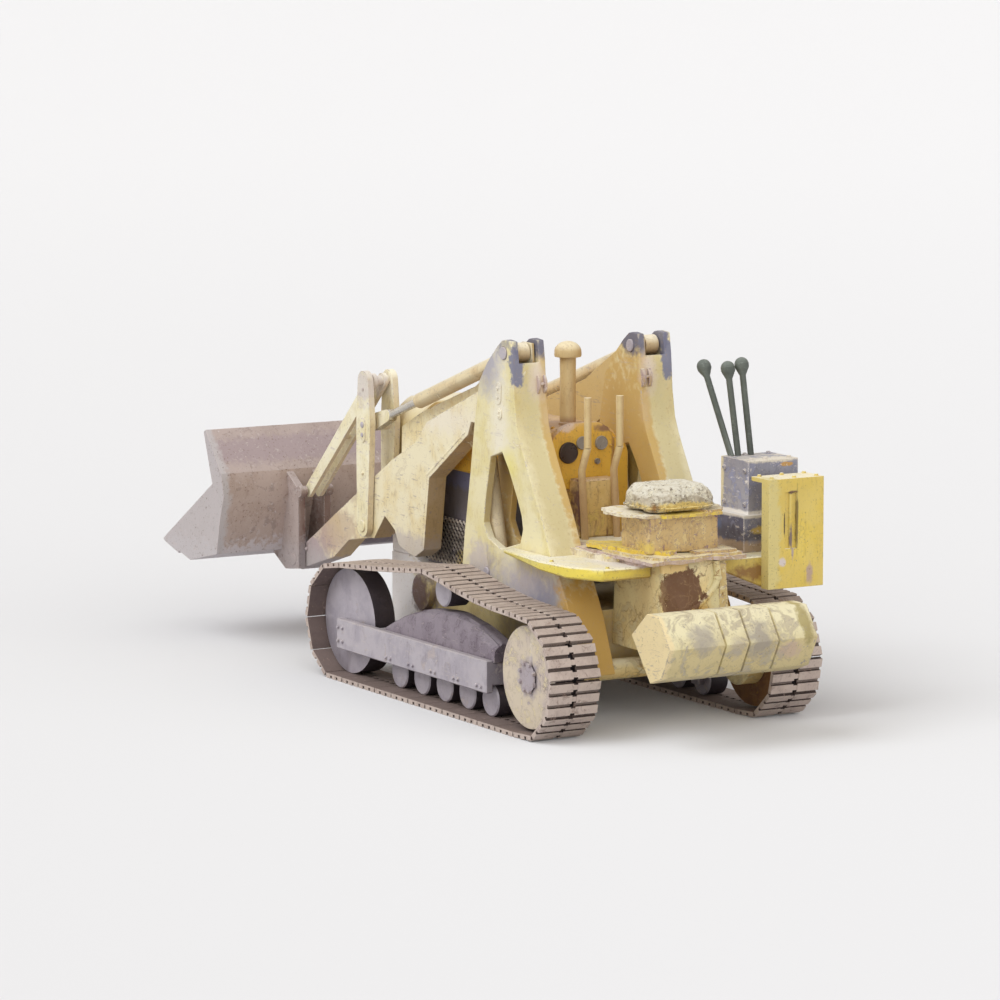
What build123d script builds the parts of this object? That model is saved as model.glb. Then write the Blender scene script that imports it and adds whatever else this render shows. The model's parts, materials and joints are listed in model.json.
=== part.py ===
from build123d import *

import math
import os

# Crawler loader: a tracked machine with a bucket on two lift arms. Millimetres, +X forward, +Y left, +Z up.
# Stations along X are measured forward from the sprocket axle, heights from the ground under the tracks.
# save() moves every piece so that the row's origin is on the ground, at the middle of the overall length.

# ---- Overall ----
BUCKET_TIP_X = 4016.0
COUNTERWEIGHT_REAR_X = -870.0
ORIGIN_X = (BUCKET_TIP_X + COUNTERWEIGHT_REAR_X) / 2
RUNNING_CLEARANCE = 0.1

# ---- Tracks ----
GAUGE = 1370.0
SHOE_WIDTH = 300.0
SHOE_COUNT = 32
SHOE_PLATE = 11.0
GROUSER_HEIGHT = 17.0
GROUSER_WIDTH = 44.0
GROUSERS_PER_SHOE = 3
SHOE_GAP = 3.0
SEAM_DEPTH = 4.0
BELT_INNER_Z = SHOE_PLATE + GROUSER_HEIGHT
WRAP_RADIUS = 309.0
SPROCKET_Z = 320.0
IDLER_X = 2054.0
IDLER_Z = 323.0
CARRIER_X = 980.0
CARRIER_TOP_Z = 732.0
CARRIER_FLAT = 60.0
REAR_SAG = 30.0
FRONT_SAG = 6.0

TRACK_Y = GAUGE / 2
SPROCKET_RADIUS = 271.0
SPROCKET_OUTER_Y = 775.0
SPROCKET_INNER_Y = 600.0
SPROCKET_HUB_RADIUS = 78.0
TOOTH_COUNT = 19
TOOTH_TIP_RADIUS = 288.0
IDLER_RADIUS = 292.0
IDLER_Y = (602.0, 728.0)
IDLER_BLOCK_X = (2014.0, 2094.0)
IDLER_BLOCK_Z = (200.0, 330.0)
COVER_X = (412.0, 1640.0)
COVER_Y = (602.0, 746.0)
COVER_END_Z = (425.0, 340.0)
COVER_TOP_Z = 527.0
COVER_LEAN = 110.0
COVER_SHOULDER = 30.0
ROLLER_COUNT = 5
ROLLER_FIRST_X = 500.0
ROLLER_PITCH = 250.0
ROLLER_RADIUS = 90.0
HANGER_DROP = 28.0
ROLLER_Z = BELT_INNER_Z + ROLLER_RADIUS
ROLLER_Y = (600.0, 720.0)
CARRIER_RADIUS = 84.0
CARRIER_Z = 636.0
CARRIER_Y = (606.0, 740.0)
CARRIER_AXLE_RADIUS = 30.0

FRAME_X = (424.0, 2100.0)
FRAME_Z = (168.0, 344.0)
FRAME_FRONT_DROP = 7.0
FRAME_HANGER_WIDTH = 80.0
FRAME_END_WALL = 16.0
FRAME_INNER_Y = (556.0, 600.0)
FRAME_OUTER_Y = (746.0, 790.0)
FRAME_DECK_X = (424.0, 1720.0)
FRAME_DECK_Z = 300.0
FRAME_DECK_TOP = 330.0

# ---- Chassis ----
HULL_HALF_WIDTH = 280.0
HULL_X = (90.0, 2385.0)
TOWER_MOUNT_X = ((330.0, 450.0), (980.0, 1160.0))
HULL_BOSS = (1980.0, 466.0)
HULL_BOSS_RADIUS = 100.0
HULL_BOSS_LENGTH = 40.0
AXLE_TUBE_RADIUS = 55.0
FINAL_DRUM_RADIUS = 150.0
SUPPORT_X = (520.0, 1250.0)
SUPPORT_Z = 305.0
SUPPORT_RADIUS = 45.0
TOW_EYE = (2430.0, 320.0)
TOW_EYE_RADIUS = 20.0
CASE_HALF_WIDTH = 195.0
CASE_X = (-375.0, 90.0)
CASE_Z = (440.0, 925.0)
CASE_FLARE = 24.0
CASE_COVER_RADIUS = 78.0
CASE_COVER_HEIGHT = 110.0

# ---- Towers ----
TOWER_OUTER_Y = 495.5
TOWER_INNER_Y = 293.7
TOWER_GAP_Y = (331.7, 453.5)
TOWER_REAR_WALL = 22.0
TOWER_WALL_TOP_Z = 1880.0
TOWER_SLOT_FLOOR_Z = 640.0

# ---- Counterweight ----
WEIGHT_HALF_WIDTH = 450.0
WEIGHT_SECTION = [
    (-760, 715), (-640, 718), (-490, 590), (-675, 360), (-785, 400), (COUNTERWEIGHT_REAR_X, 560),
]
WEIGHT_SEAMS = (110.0, -35.0, -216.0)
WEIGHT_SEAM_WIDTH = 11.0
WEIGHT_SEAM_DEPTH = 16.0
WEIGHT_STUBS = (140.0, -140.0)

# ---- Bodywork ----
CONSOLE_X = 600.0
LEVER_RADIUS = 20.0
STACK = (915.0, 1885.0)
STACK_RADIUS = 43.0
STACK_CAP_RADIUS = 74.0
STACK_CAP_RIM = 17.0
STACK_CAP_HEIGHT = 60.0
HOOD_HALF_WIDTH = 275.0
GUARD_HALF_WIDTH = 280.0
GUARD_X = (2100.0, 2385.0)
GRILLE_HALF_WIDTH = 200.0
GRILLE_Z = (760.0, 1340.0)
GRILLE_DEPTH = 35.0
SLAT_COUNT = 8
SLAT_WIDTH = 18.0
SLAT_SETBACK = 8.0
COWL_CORNER = 0.14
HOOD_TOP_Z = 1500.0
FILLER_RADIUS = 45.0
FIREWALL_X = (740.0, 764.0)
PANEL_X = 700.0
FLOOR_Z = (885.0, 925.0)

FENDER_REAR_X = -280.0
FENDER_Z = (838.0, 902.0)
FENDER_TIP = 14.0
TANK_X = -350.0
TANK_Y = (-822.0, -477.0)
TANK_LID_Z = 1290.0
HANDLE_Z = (940.0, 1240.0)
VALVE_TOP_Z = 1385.0
VALVE_LEVERS_Y = (-535.0, -575.0, -655.0)
VALVE_LEVER_RADIUS = 17.0
KNOB_RADIUS = 38.0
KNOB_FLARE = 44.0
KNOB_RIM = 26.0

# ---- Lift arms ----
ARM_Y = (337.5, 447.5)
ARM_WEB_Y = (337.5, 354.5)
LIFT_PIVOT = (750.0, 1930.0)
LEVER_PIVOT = (2355.0, 800.0)
BUCKET_PIVOT = (3170.0, 505.0)
CROSS_TUBE = (2800.0, 672.0)
CROSS_TUBE_RADIUS = 50.0
PIN_RADIUS = 35.0
SMALL_PIN_RADIUS = 28.0

# ---- Tilt linkage ----
LEVER_TOP = (2340.0, 1618.0)
ROD_POINT = (2338.0, 1385.0)
LINK_POINT = (3105.0, 905.0)
LEVER_OUTER_Y = (453.5, 488.5)
LEVER_INNER_Y = (296.5, 331.5)
CYLINDER_Y = 402.5
FORK_HALF_WIDTH = 26.0

# ---- Cylinders ----
TILT_BARREL_RADIUS = 42.5
TILT_ROD_RADIUS = 22.5
TILT_BARREL_END = 1150.0
TILT_FOOT_RADIUS = 52.0
TILT_BORE_START = 480.0
TILT_ROD_START = 600.0
LIFT_BASE = (930.0, 730.0)
LIFT_POINT = (1130.0, 1580.0)
LIFT_BARREL_RADIUS = 45.0
LIFT_BARREL_END = 672.0
LIFT_ROD_RADIUS = 25.0
LIFT_FOOT_RADIUS = 50.0
LIFT_BORE_START = 75.0
LIFT_ROD_START = 160.0

# ---- Bucket ----
BUCKET_HALF_WIDTH = 918.0
LIP_LENGTH = 210.0
LIP_THICKNESS = 14.0
BUCKET_CHEEK = 20.0


# ---- Helpers ----
def block(x0, x1, y0, y1, z0, z1):
    """Box between two stations, two sides and two heights."""
    return Pos((x0 + x1) / 2, (y0 + y1) / 2, (z0 + z1) / 2) * Box(x1 - x0, y1 - y0, z1 - z0)


def side_prism(outline, y0, y1):
    """Prism of an outline of (x, z) points, from side y0 to side y1."""
    wire = Polyline(*[(x, y0, z) for x, z in outline], close=True)
    return extrude(make_face(wire), amount=y1 - y0, dir=(0, 1, 0))


def cross_bar(centre, radius, y0, y1):
    """Round bar across the machine, centred on an (x, z) point."""
    return Solid.make_cylinder(radius, y1 - y0, Plane(origin=(centre[0], y0, centre[1]), z_dir=(0, 1, 0)))


def rod_between(start, end, radius):
    """Round rod between two (x, y, z) points."""
    direction = Vector(*end) - Vector(*start)
    return Solid.make_cylinder(radius, direction.length, Plane(origin=start, z_dir=direction))


def along(start, end, distance):
    """Point on the (x, z) line from start to end, at a distance from start."""
    length = math.dist(start, end)
    return tuple(a + (b - a) * distance / length for a, b in zip(start, end))


def link_plate(start, end, start_radius, end_radius, y0, y1):
    """Flat bar with two round ends of their own radii, tangent to its straight edges."""
    axis = math.atan2(end[1] - start[1], end[0] - start[0])
    spread = math.acos((start_radius - end_radius) / math.dist(start, end))

    def rim(centre, radius, angle):
        return (centre[0] + radius * math.cos(angle), y0, centre[1] + radius * math.sin(angle))

    left, right = axis + spread, axis - spread
    edges = [
        Line(rim(start, start_radius, right), rim(end, end_radius, right)),
        ThreePointArc(rim(end, end_radius, right), rim(end, end_radius, axis), rim(end, end_radius, left)),
        Line(rim(end, end_radius, left), rim(start, start_radius, left)),
        ThreePointArc(
            rim(start, start_radius, left),
            rim(start, start_radius, axis + math.pi),
            rim(start, start_radius, right),
        ),
    ]
    return extrude(make_face(edges), amount=y1 - y0, dir=(0, 1, 0))


def mirrored(shape):
    """The same piece on the machine's right side."""
    return mirror(shape, about=Plane.XZ)


def save(name, *shapes):
    """Write one node: all its solids, moved into the row's frame."""
    solids = [solid for shape in shapes for solid in shape.solids()]
    node = Compound(children=[solid.moved(Location((-ORIGIN_X, 0, 0))) for solid in solids])
    export_step(node, f"parts/{name}.step")


# ---- Tracks ----
def belt_path():
    """Closed path of the belt's inner corners, as dense (x, z) points that run forward along the ground."""
    lift = math.asin((SPROCKET_Z - BELT_INNER_Z) / WRAP_RADIUS)
    front_lift = math.asin((IDLER_Z - BELT_INNER_Z) / WRAP_RADIUS)
    steps = 40
    path = []
    for i in range(steps + 1):
        angle = -front_lift + (math.pi / 2 + front_lift) * i / steps
        path.append((IDLER_X + WRAP_RADIUS * math.cos(angle), IDLER_Z + WRAP_RADIUS * math.sin(angle)))
    spans = [
        ((IDLER_X, IDLER_Z + WRAP_RADIUS), (CARRIER_X + CARRIER_FLAT, CARRIER_TOP_Z), FRONT_SAG),
        ((CARRIER_X, CARRIER_TOP_Z), (0.0, SPROCKET_Z + WRAP_RADIUS), REAR_SAG),
    ]
    for (x0, z0), (x1, z1), sag in spans:
        for i in range(1, steps + 1):
            t = i / steps
            path.append((x0 + (x1 - x0) * t, z0 + (z1 - z0) * t - 4 * sag * t * (1 - t)))
    for i in range(1, steps + 1):
        angle = math.pi / 2 + (math.pi / 2 + lift) * i / steps
        path.append((WRAP_RADIUS * math.cos(angle), SPROCKET_Z + WRAP_RADIUS * math.sin(angle)))
    return path + [path[0]]


def even_points(path, count):
    """Points at equal distances along a closed path."""
    lengths = [0.0]
    for a, b in zip(path, path[1:]):
        lengths.append(lengths[-1] + math.dist(a, b))
    points = []
    segment = 0
    for i in range(count):
        target = lengths[-1] * i / count
        while lengths[segment + 1] < target:
            segment += 1
        t = (target - lengths[segment]) / (lengths[segment + 1] - lengths[segment])
        a, b = path[segment], path[segment + 1]
        points.append((a[0] + (b[0] - a[0]) * t, a[1] + (b[1] - a[1]) * t))
    return points


def shoe_profile(length):
    """Outer face of one shoe as (distance along, height out) points: a plate with low ribs across it."""
    foot, tip = GROUSER_WIDTH / 2, GROUSER_WIDTH / 2 - 2
    top = SHOE_PLATE + GROUSER_HEIGHT
    points = [(SHOE_GAP, SEAM_DEPTH), (SHOE_GAP, SHOE_PLATE)]
    for rib in range(GROUSERS_PER_SHOE):
        middle = length * (rib + 0.5) / GROUSERS_PER_SHOE
        points += [
            (middle - foot, SHOE_PLATE),
            (middle - tip, top),
            (middle + tip, top),
            (middle + foot, SHOE_PLATE),
        ]
    return points + [(length - SHOE_GAP, SHOE_PLATE), (length - SHOE_GAP, SEAM_DEPTH)]


def track():
    """One closed belt of shoes, hollow inside, flat where it lies on the ground."""
    corners = even_points(belt_path(), SHOE_COUNT)
    outer = []
    for a, b in zip(corners, corners[1:] + corners[:1]):
        length = math.dist(a, b)
        ux, uz = (b[0] - a[0]) / length, (b[1] - a[1]) / length
        for s, out in shoe_profile(length):
            outer.append((a[0] + ux * s + uz * out, max(0.0, a[1] + uz * s - ux * out)))
    y0, y1 = TRACK_Y - SHOE_WIDTH / 2, TRACK_Y + SHOE_WIDTH / 2
    return side_prism(outer, y0, y1) - side_prism(corners, y0, y1)


def sprocket():
    """Plain disc wheel with a raised rim, a hub and a ring of short teeth behind the shoes."""
    centre = (0.0, SPROCKET_Z)
    wheel = cross_bar(centre, SPROCKET_RADIUS, SPROCKET_INNER_Y, SPROCKET_OUTER_Y)
    wheel += cross_bar(centre, SPROCKET_HUB_RADIUS, SPROCKET_OUTER_Y, SPROCKET_OUTER_Y + 10)
    teeth = []
    for i in range(TOOTH_COUNT * 2):
        radius = TOOTH_TIP_RADIUS if i % 2 == 0 else SPROCKET_RADIUS - 8
        for side in (-0.3, 0.3):
            angle = math.pi * (i + side) / TOOTH_COUNT
            teeth.append((radius * math.cos(angle), SPROCKET_Z + radius * math.sin(angle)))
    return wheel + side_prism(teeth, 655, 705)


def idler():
    """Plain disc wheel on a bearing block between the frame's two sides."""
    wheel = cross_bar((IDLER_X, IDLER_Z), IDLER_RADIUS, *IDLER_Y)
    return wheel + block(*IDLER_BLOCK_X, FRAME_INNER_Y[1], FRAME_OUTER_Y[0], *IDLER_BLOCK_Z)


def roller_stations():
    """Stations of the bottom rollers."""
    return [ROLLER_FIRST_X + i * ROLLER_PITCH for i in range(ROLLER_COUNT)]


def bottom_rollers():
    """Five plain rollers, seated against the hangers on the frame's inner side."""
    return [cross_bar((x, ROLLER_Z), ROLLER_RADIUS, *ROLLER_Y) for x in roller_stations()]


def carrier_roller():
    """Roller under the belt's top run, on an axle that sticks out from the tower's foot."""
    centre = (CARRIER_X, CARRIER_Z)
    return cross_bar(centre, CARRIER_RADIUS, *CARRIER_Y) + cross_bar(
        centre, CARRIER_AXLE_RADIUS, TOWER_OUTER_Y, CARRIER_Y[0]
    )


def track_frame():
    """Two side plates joined by a deck and a rear wall, with a hanger for each roller."""
    x0, x1 = FRAME_X
    z0, z1 = FRAME_Z
    tapered = [(x0, z0), (x1, z0), (x1, z1 - FRAME_FRONT_DROP), (x0, z1)]
    frame = side_prism(tapered, *FRAME_OUTER_Y) + side_prism(tapered, *FRAME_INNER_Y)
    frame += block(*FRAME_DECK_X, FRAME_INNER_Y[1], FRAME_OUTER_Y[0], FRAME_DECK_Z, FRAME_DECK_TOP)
    wall_foot = ROLLER_Z + ROLLER_RADIUS
    frame += block(x0, x0 + FRAME_END_WALL, FRAME_INNER_Y[1], FRAME_OUTER_Y[0], wall_foot, FRAME_DECK_Z)
    half = FRAME_HANGER_WIDTH / 2
    for x in roller_stations():
        frame += block(x - half, x + half, *FRAME_INNER_Y, ROLLER_Z - HANGER_DROP, z0)
    return frame


def spring_cover():
    """Humped cover of the recoil spring, one long arch with sloped shoulders, on the frame's deck."""
    rear, front = COVER_X
    y0, y1 = COVER_Y
    low = [(rear, y0, FRAME_DECK_TOP), (front, y0, FRAME_DECK_TOP)]
    high = [(rear, y0, COVER_END_Z[0]), (front, y0, COVER_END_Z[1])]
    crown = ((rear + front) / 2 - COVER_LEAN, y0, COVER_TOP_Z)
    outline = [
        Line(low[0], high[0]),
        ThreePointArc(high[0], crown, high[1]),
        Line(high[1], low[1]),
        Line(low[1], low[0]),
    ]
    cover = extrude(make_face(outline), amount=y1 - y0, dir=(0, 1, 0))
    shoulders = [edge for edge in cover.edges() if edge.geom_type == GeomType.CIRCLE]
    return chamfer(shoulders, COVER_SHOULDER)


# ---- Chassis ----
def main_frame():
    """Hull between the tracks, with seats for the towers, the idlers' round bosses and a tow eye."""
    x0, x1 = HULL_X
    outline = [(x0, 620), (x0, 300), (200, 262), (2200, 250), (x1, 250), (x1, 640), (2100, 640), (2060, 620)]
    hull = side_prism(outline, -HULL_HALF_WIDTH, HULL_HALF_WIDTH)
    for rear, front in TOWER_MOUNT_X:
        for side in (1, -1):
            y0, y1 = sorted((HULL_HALF_WIDTH * side, TOWER_INNER_Y * side))
            hull += block(rear, front, y0, y1, 540, 720)
    boss_y = HULL_HALF_WIDTH + HULL_BOSS_LENGTH
    hull += cross_bar(HULL_BOSS, HULL_BOSS_RADIUS, -boss_y, boss_y)
    hull += block(x1, TOW_EYE[0] + 45, -20, 20, 270, 370)
    return hull - cross_bar(TOW_EYE, TOW_EYE_RADIUS, -30, 30)


def cross_supports():
    """Round bars that carry the two track frames, from the hull's sides to the frames' inner plates."""
    return [cross_bar((x, SUPPORT_Z), SUPPORT_RADIUS, HULL_HALF_WIDTH, FRAME_INNER_Y[0]) for x in SUPPORT_X]


def rear_case():
    """Drive case that flares a little towards its foot, with a round cover on its rear face."""
    x0, x1 = CASE_X
    rings = []
    for z, flare in ((CASE_Z[0], CASE_FLARE), (CASE_Z[1], 0.0)):
        half = CASE_HALF_WIDTH + flare
        rear = x0 - flare
        rings.append(Polyline((rear, -half, z), (x1, -half, z), (x1, half, z), (rear, half, z), close=True))
    case = loft([make_face(ring) for ring in rings], ruled=True)
    cover_x = x0 - CASE_FLARE - 6
    cover_z = CASE_Z[0] + CASE_COVER_HEIGHT
    return case + rod_between((cover_x, 0, cover_z), (x0, 0, cover_z), CASE_COVER_RADIUS)


def final_drives():
    """Dead axle through the towers' feet, with a round drive drum outside each of them."""
    centre = (0.0, SPROCKET_Z)
    drives = cross_bar(centre, AXLE_TUBE_RADIUS, -TOWER_OUTER_Y, TOWER_OUTER_Y)
    for side in (1, -1):
        y0, y1 = sorted((TOWER_OUTER_Y * side, SPROCKET_INNER_Y * side))
        drives += cross_bar(centre, FINAL_DRUM_RADIUS, y0, y1)
        y0, y1 = sorted((TOWER_INNER_Y * side, TOWER_OUTER_Y * side))
        drives -= side_prism(REAR_EDGE + FRONT_EDGE, y0, y1)
    return drives


# The tower's outlines, from the ears down. Heights are measured from the ground.
REAR_EDGE = [
    (735, 2003), (672, 1998), (656, 1900), (645, 1785), (640, 1700), (612, 1549), (577, 1470), (522, 1375),
    (446, 1250), (352, 1092), (258, 913), (147, 775), (46, 600), (-76, 306),
]
FRONT_EDGE = [
    (60, 306), (230, 590), (1205, 590), (1193, 766), (1175, 908), (1140, 1087), (1108, 1265), (1087, 1397),
    (1061, 1547), (1028, 1690), (1017, 1752), (930, 1862), (825, 1958), (770, 1996),
]
TOWER_WINDOW = [
    (768, 1399), (892, 1359), (906, 1288), (940, 1155), (966, 996), (914, 916), (777, 874), (573, 930),
    (545, 1010), (560, 1080), (607, 1169), (692, 1305),
]


def rear_edge_x(height):
    """Station of the tower's rear edge at a height."""
    for (x0, z0), (x1, z1) in zip(REAR_EDGE, REAR_EDGE[1:]):
        if z1 <= height <= z0:
            return x0 + (x1 - x0) * (z0 - height) / (z0 - z1)
    raise ValueError(height)


def tower():
    """Hollow post open to the front: two side plates and a rear wall, with a window and pin holes."""
    shell = side_prism(REAR_EDGE + FRONT_EDGE, TOWER_INNER_Y, TOWER_OUTER_Y)
    inside = [(x + TOWER_REAR_WALL, z) for x, z in REAR_EDGE if TOWER_SLOT_FLOOR_Z < z < TOWER_WALL_TOP_Z]
    ends = [(rear_edge_x(z) + TOWER_REAR_WALL, z) for z in (TOWER_WALL_TOP_Z, TOWER_SLOT_FLOOR_Z)]
    slot = [(600, 2050), (600, TOWER_WALL_TOP_Z), ends[0]] + inside
    slot += [ends[1], (1300, TOWER_SLOT_FLOOR_Z), (1300, 2050)]
    shell -= side_prism(slot, *TOWER_GAP_Y)
    shell -= side_prism(TOWER_WINDOW, 0, 600)
    shell -= cross_bar(LIFT_PIVOT, PIN_RADIUS, 0, 600)
    return shell - cross_bar(LIFT_BASE, SMALL_PIN_RADIUS, 0, 600)


def tower_pins():
    """Pins of the arm's top pivot and of the lift barrel's foot, through both walls."""
    pins = []
    for centre, radius in ((LIFT_PIVOT, PIN_RADIUS), (LIFT_BASE, SMALL_PIN_RADIUS)):
        pins.append(cross_bar(centre, radius, TOWER_INNER_Y - 8, TOWER_OUTER_Y + 8))
    return pins


# ---- Engine, hood and controls ----
def engine_block():
    """The closed-in engine, one plain block."""
    return block(900, 2060, -230, 230, 620, 1180)


def cowl(x0, x1, sides, crown, foot, bend, shoulder, top):
    """Sheet-metal body across the machine: straight sides, round shoulders and a flat crown.

    sides and crown are (right, left) pairs; the shoulder's arc passes a height between bend and top.
    """
    corners = [side + (flat - side) * COWL_CORNER for side, flat in zip(sides, crown)]
    (right, left), (crown_right, crown_left) = sides, crown
    edges = [
        Line((x0, right, foot), (x0, left, foot)),
        Line((x0, left, foot), (x0, left, bend)),
        ThreePointArc((x0, left, bend), (x0, corners[1], shoulder), (x0, crown_left, top)),
        Line((x0, crown_left, top), (x0, crown_right, top)),
        ThreePointArc((x0, crown_right, top), (x0, corners[0], shoulder), (x0, right, bend)),
        Line((x0, right, bend), (x0, right, foot)),
    ]
    return extrude(make_face(edges), amount=x1 - x0, dir=(1, 0, 0))


def hood():
    """Bonnet over the engine, with a filler cap."""
    sides = (-HOOD_HALF_WIDTH, HOOD_HALF_WIDTH)
    bonnet = cowl(FIREWALL_X[1], GUARD_X[0], sides, (-150, 150), 1180, 1352, 1400, HOOD_TOP_Z)
    return bonnet + rod_between((1650, 0, HOOD_TOP_Z - 10), (1650, 0, HOOD_TOP_Z + 30), FILLER_RADIUS)


def radiator_guard():
    """Nose casting with a slatted opening in its front."""
    guard = cowl(*GUARD_X, (-GUARD_HALF_WIDTH, GUARD_HALF_WIDTH), (-160, 160), 640, 1369, 1415, 1515)
    back = GUARD_X[1] - GRILLE_DEPTH
    half = GRILLE_HALF_WIDTH
    guard -= block(back, GUARD_X[1], -half, half, *GRILLE_Z)
    for i in range(SLAT_COUNT):
        y = (2 * i + 1 - SLAT_COUNT) * half / SLAT_COUNT
        guard += block(back, GUARD_X[1] - SLAT_SETBACK, y - SLAT_WIDTH / 2, y + SLAT_WIDTH / 2, *GRILLE_Z)
    return guard


def engine_screen():
    """Side panel of the engine, pierced sheet in the finished machine."""
    return block(1500, 2060, 230, 244, 640, 900)


def dashboard():
    """Firewall as wide as the bonnet, with an arched instrument panel on it."""
    sides = (-HOOD_HALF_WIDTH, HOOD_HALF_WIDTH)
    firewall = cowl(*FIREWALL_X, sides, (-170, 170), FLOOR_Z[1], 1350, 1392, 1440)
    return firewall + cowl(PANEL_X, FIREWALL_X[0], (-165, 235), (-58, 76), 1180, 1402, 1461, 1533)


def gauges():
    """Dials and a pull knob on the panel, as (side, height, radius)."""
    dials = ((125, 1378, 58), (39, 1426, 36), (-80, 1420, 38), (-55, 1322, 16))
    return [rod_between((PANEL_X, y, z), (PANEL_X - 12, y, z), radius) for y, z, radius in dials]


def console():
    """Housing of the clutch rods below the panel."""
    return block(CONSOLE_X, FIREWALL_X[0], -120, 120, FLOOR_Z[1], 1240) - dashboard()


def steering_levers():
    """Two cranked clutch levers, one on each side of the console."""
    levers = []
    for y in (100, -100):
        points = [(560, y, FLOOR_Z[1] - 20), (600, y, 1290), (538, y, 1420), (538, y, 1690)]
        lever = rod_between(points[0], points[1], LEVER_RADIUS)
        for a, b in zip(points[1:], points[2:]):
            lever += rod_between(a, b, LEVER_RADIUS)
        levers.append(lever - console() - floor_plate() - dashboard())
    return levers


def air_stack():
    """Air intake pipe on the bonnet, with a mushroom cap."""
    x, top = STACK
    pipe = rod_between((x, 0, HOOD_TOP_Z), (x, 0, top), STACK_RADIUS)
    rim = rod_between((x, 0, top - STACK_CAP_RIM), (x, 0, top), STACK_CAP_RADIUS)
    cap = Solid.make_cone(STACK_CAP_RADIUS, STACK_CAP_RADIUS / 2, STACK_CAP_HEIGHT, Plane((x, 0, top)))
    return pipe + rim + cap


# ---- Operator's place ----
def floor_plate():
    """Plate between the towers, from the drive case to the panel."""
    return block(CASE_X[1], PANEL_X, -TOWER_INNER_Y, TOWER_INNER_Y, *FLOOR_Z)


def seat_frame():
    """Seat pan and its stepped plates, on the drive case."""
    frame = block(-400, 230, -290, 290, 925, 965)
    frame += block(-280, 0, -205, 215, 965, 1150)
    return frame + block(-330, 110, -275, 300, 1150, 1172)


def seat_cushion():
    """Cushion's plain solid, narrower at its top."""
    rings = []
    for z, inset in ((1172, 0.0), (1305, 55.0)):
        x0, x1, y = -300 + inset, 50 - inset, 215 - inset
        rings.append(Polyline((x0, -y, z), (x1, -y, z), (x1, y, z), (x0, y, z), close=True))
    return loft([make_face(ring) for ring in rings], ruled=True)


def fender(outer_edge):
    """Step plate above the track, level with the floor and thinner towards its front tip."""
    rear, z0, z1 = FENDER_REAR_X, *FENDER_Z
    outline = [(rear, CASE_HALF_WIDTH), *outer_edge, (640, TOWER_OUTER_Y), (320, TOWER_OUTER_Y)]
    outline += [(320, TOWER_INNER_Y), (CASE_X[1], TOWER_INNER_Y), (CASE_X[1], CASE_HALF_WIDTH)]
    wire = Polyline(*[(x, y, z0) for x, y in outline], close=True)
    plate = extrude(make_face(wire), amount=z1 - z0, dir=(0, 0, 1))
    plate -= side_prism([(-60, z0 - 1), (700, z0 - 1), (700, z1 - FENDER_TIP), (-60, z0)], 0, 900)
    return plate - side_prism(REAR_EDGE + FRONT_EDGE, TOWER_INNER_Y, TOWER_OUTER_Y) - rear_case()


def left_fender():
    """The left step ends in a cut-back corner."""
    return fender([(FENDER_REAR_X, 500), (-90, 595), (160, 625), (602, 585)])


def right_fender():
    """The right step is wider to carry the valve block, with a gusset under its rear edge."""
    step = mirrored(fender([(FENDER_REAR_X, 690), (420, 690), (602, 585)]))
    x, z = FENDER_REAR_X, FENDER_Z[0]
    corners = Polyline((x, -240, z), (x, -507, z), (x, -507, z - 112), close=True)
    gusset = extrude(make_face(corners), amount=15, dir=(1, 0, 0))
    return step + gusset - hydraulic_tank()


def hydraulic_tank():
    """Flat upright tank with an overhanging lid, and a bar handle in a recess of its rear face."""
    x, y0, y1 = TANK_X, *TANK_Y
    tank = block(x, FENDER_REAR_X, y0, y1, 730, TANK_LID_Z)
    tank += block(x, -180, y0, y1, TANK_LID_Z, TANK_LID_Z + 23)
    tank -= block(x, x + 14, -653, -580, *HANDLE_Z)
    return tank + rod_between((x + 12, -619, HANDLE_Z[0]), (x + 12, -619, HANDLE_Z[1]), 10)


def valve_block():
    """Control valve on the right step: a cover over a wider base, with three spool caps in front."""
    valve = block(-120, 150, -810, -495, 1100, VALVE_TOP_Z) + block(-150, 200, -790, -450, FENDER_Z[1], 1100)
    for y in VALVE_LEVERS_Y:
        valve += rod_between((140, y, 1250), (176, y, 1250), 16)
    return valve


def valve_levers():
    """Three hand levers with flared knobs, standing on the valve block's cover."""
    levers = []
    for y, top in zip(VALVE_LEVERS_Y, ((370, -520, 1850), (180, -553, 1858), (180, -640, 1874))):
        foot = (100, y, VALVE_TOP_Z - 20)
        axis = (Vector(*top) - Vector(*foot)).normalized()
        neck = Plane(origin=Vector(*top) - axis * (KNOB_FLARE + KNOB_RIM), z_dir=axis)
        lever = rod_between(foot, top, VALVE_LEVER_RADIUS)
        lever += Solid.make_cone(VALVE_LEVER_RADIUS, KNOB_RADIUS, KNOB_FLARE, neck)
        lever += Solid.make_cylinder(KNOB_RADIUS, KNOB_RIM, neck.offset(KNOB_FLARE))
        levers.append(lever - valve_block())
    return levers


def counterweight():
    """Faceted bar of cast slabs across the rear, a seam between each two, on two stubs from the case."""
    weight = side_prism(WEIGHT_SECTION, -WEIGHT_HALF_WIDTH, WEIGHT_HALF_WIDTH)
    middle = [sum(values) / len(WEIGHT_SECTION) for values in zip(*WEIGHT_SECTION)]
    core = [along(point, middle, WEIGHT_SEAM_DEPTH) for point in WEIGHT_SECTION]
    for y in WEIGHT_SEAMS:
        y0, y1 = y - WEIGHT_SEAM_WIDTH / 2, y + WEIGHT_SEAM_WIDTH / 2
        weight -= side_prism(WEIGHT_SECTION, y0, y1) - side_prism(core, y0, y1)
    for y in WEIGHT_STUBS:
        weight += block(-590, CASE_X[0], y - 30, y + 30, 500, 600) - rear_case()
    return weight


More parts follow.
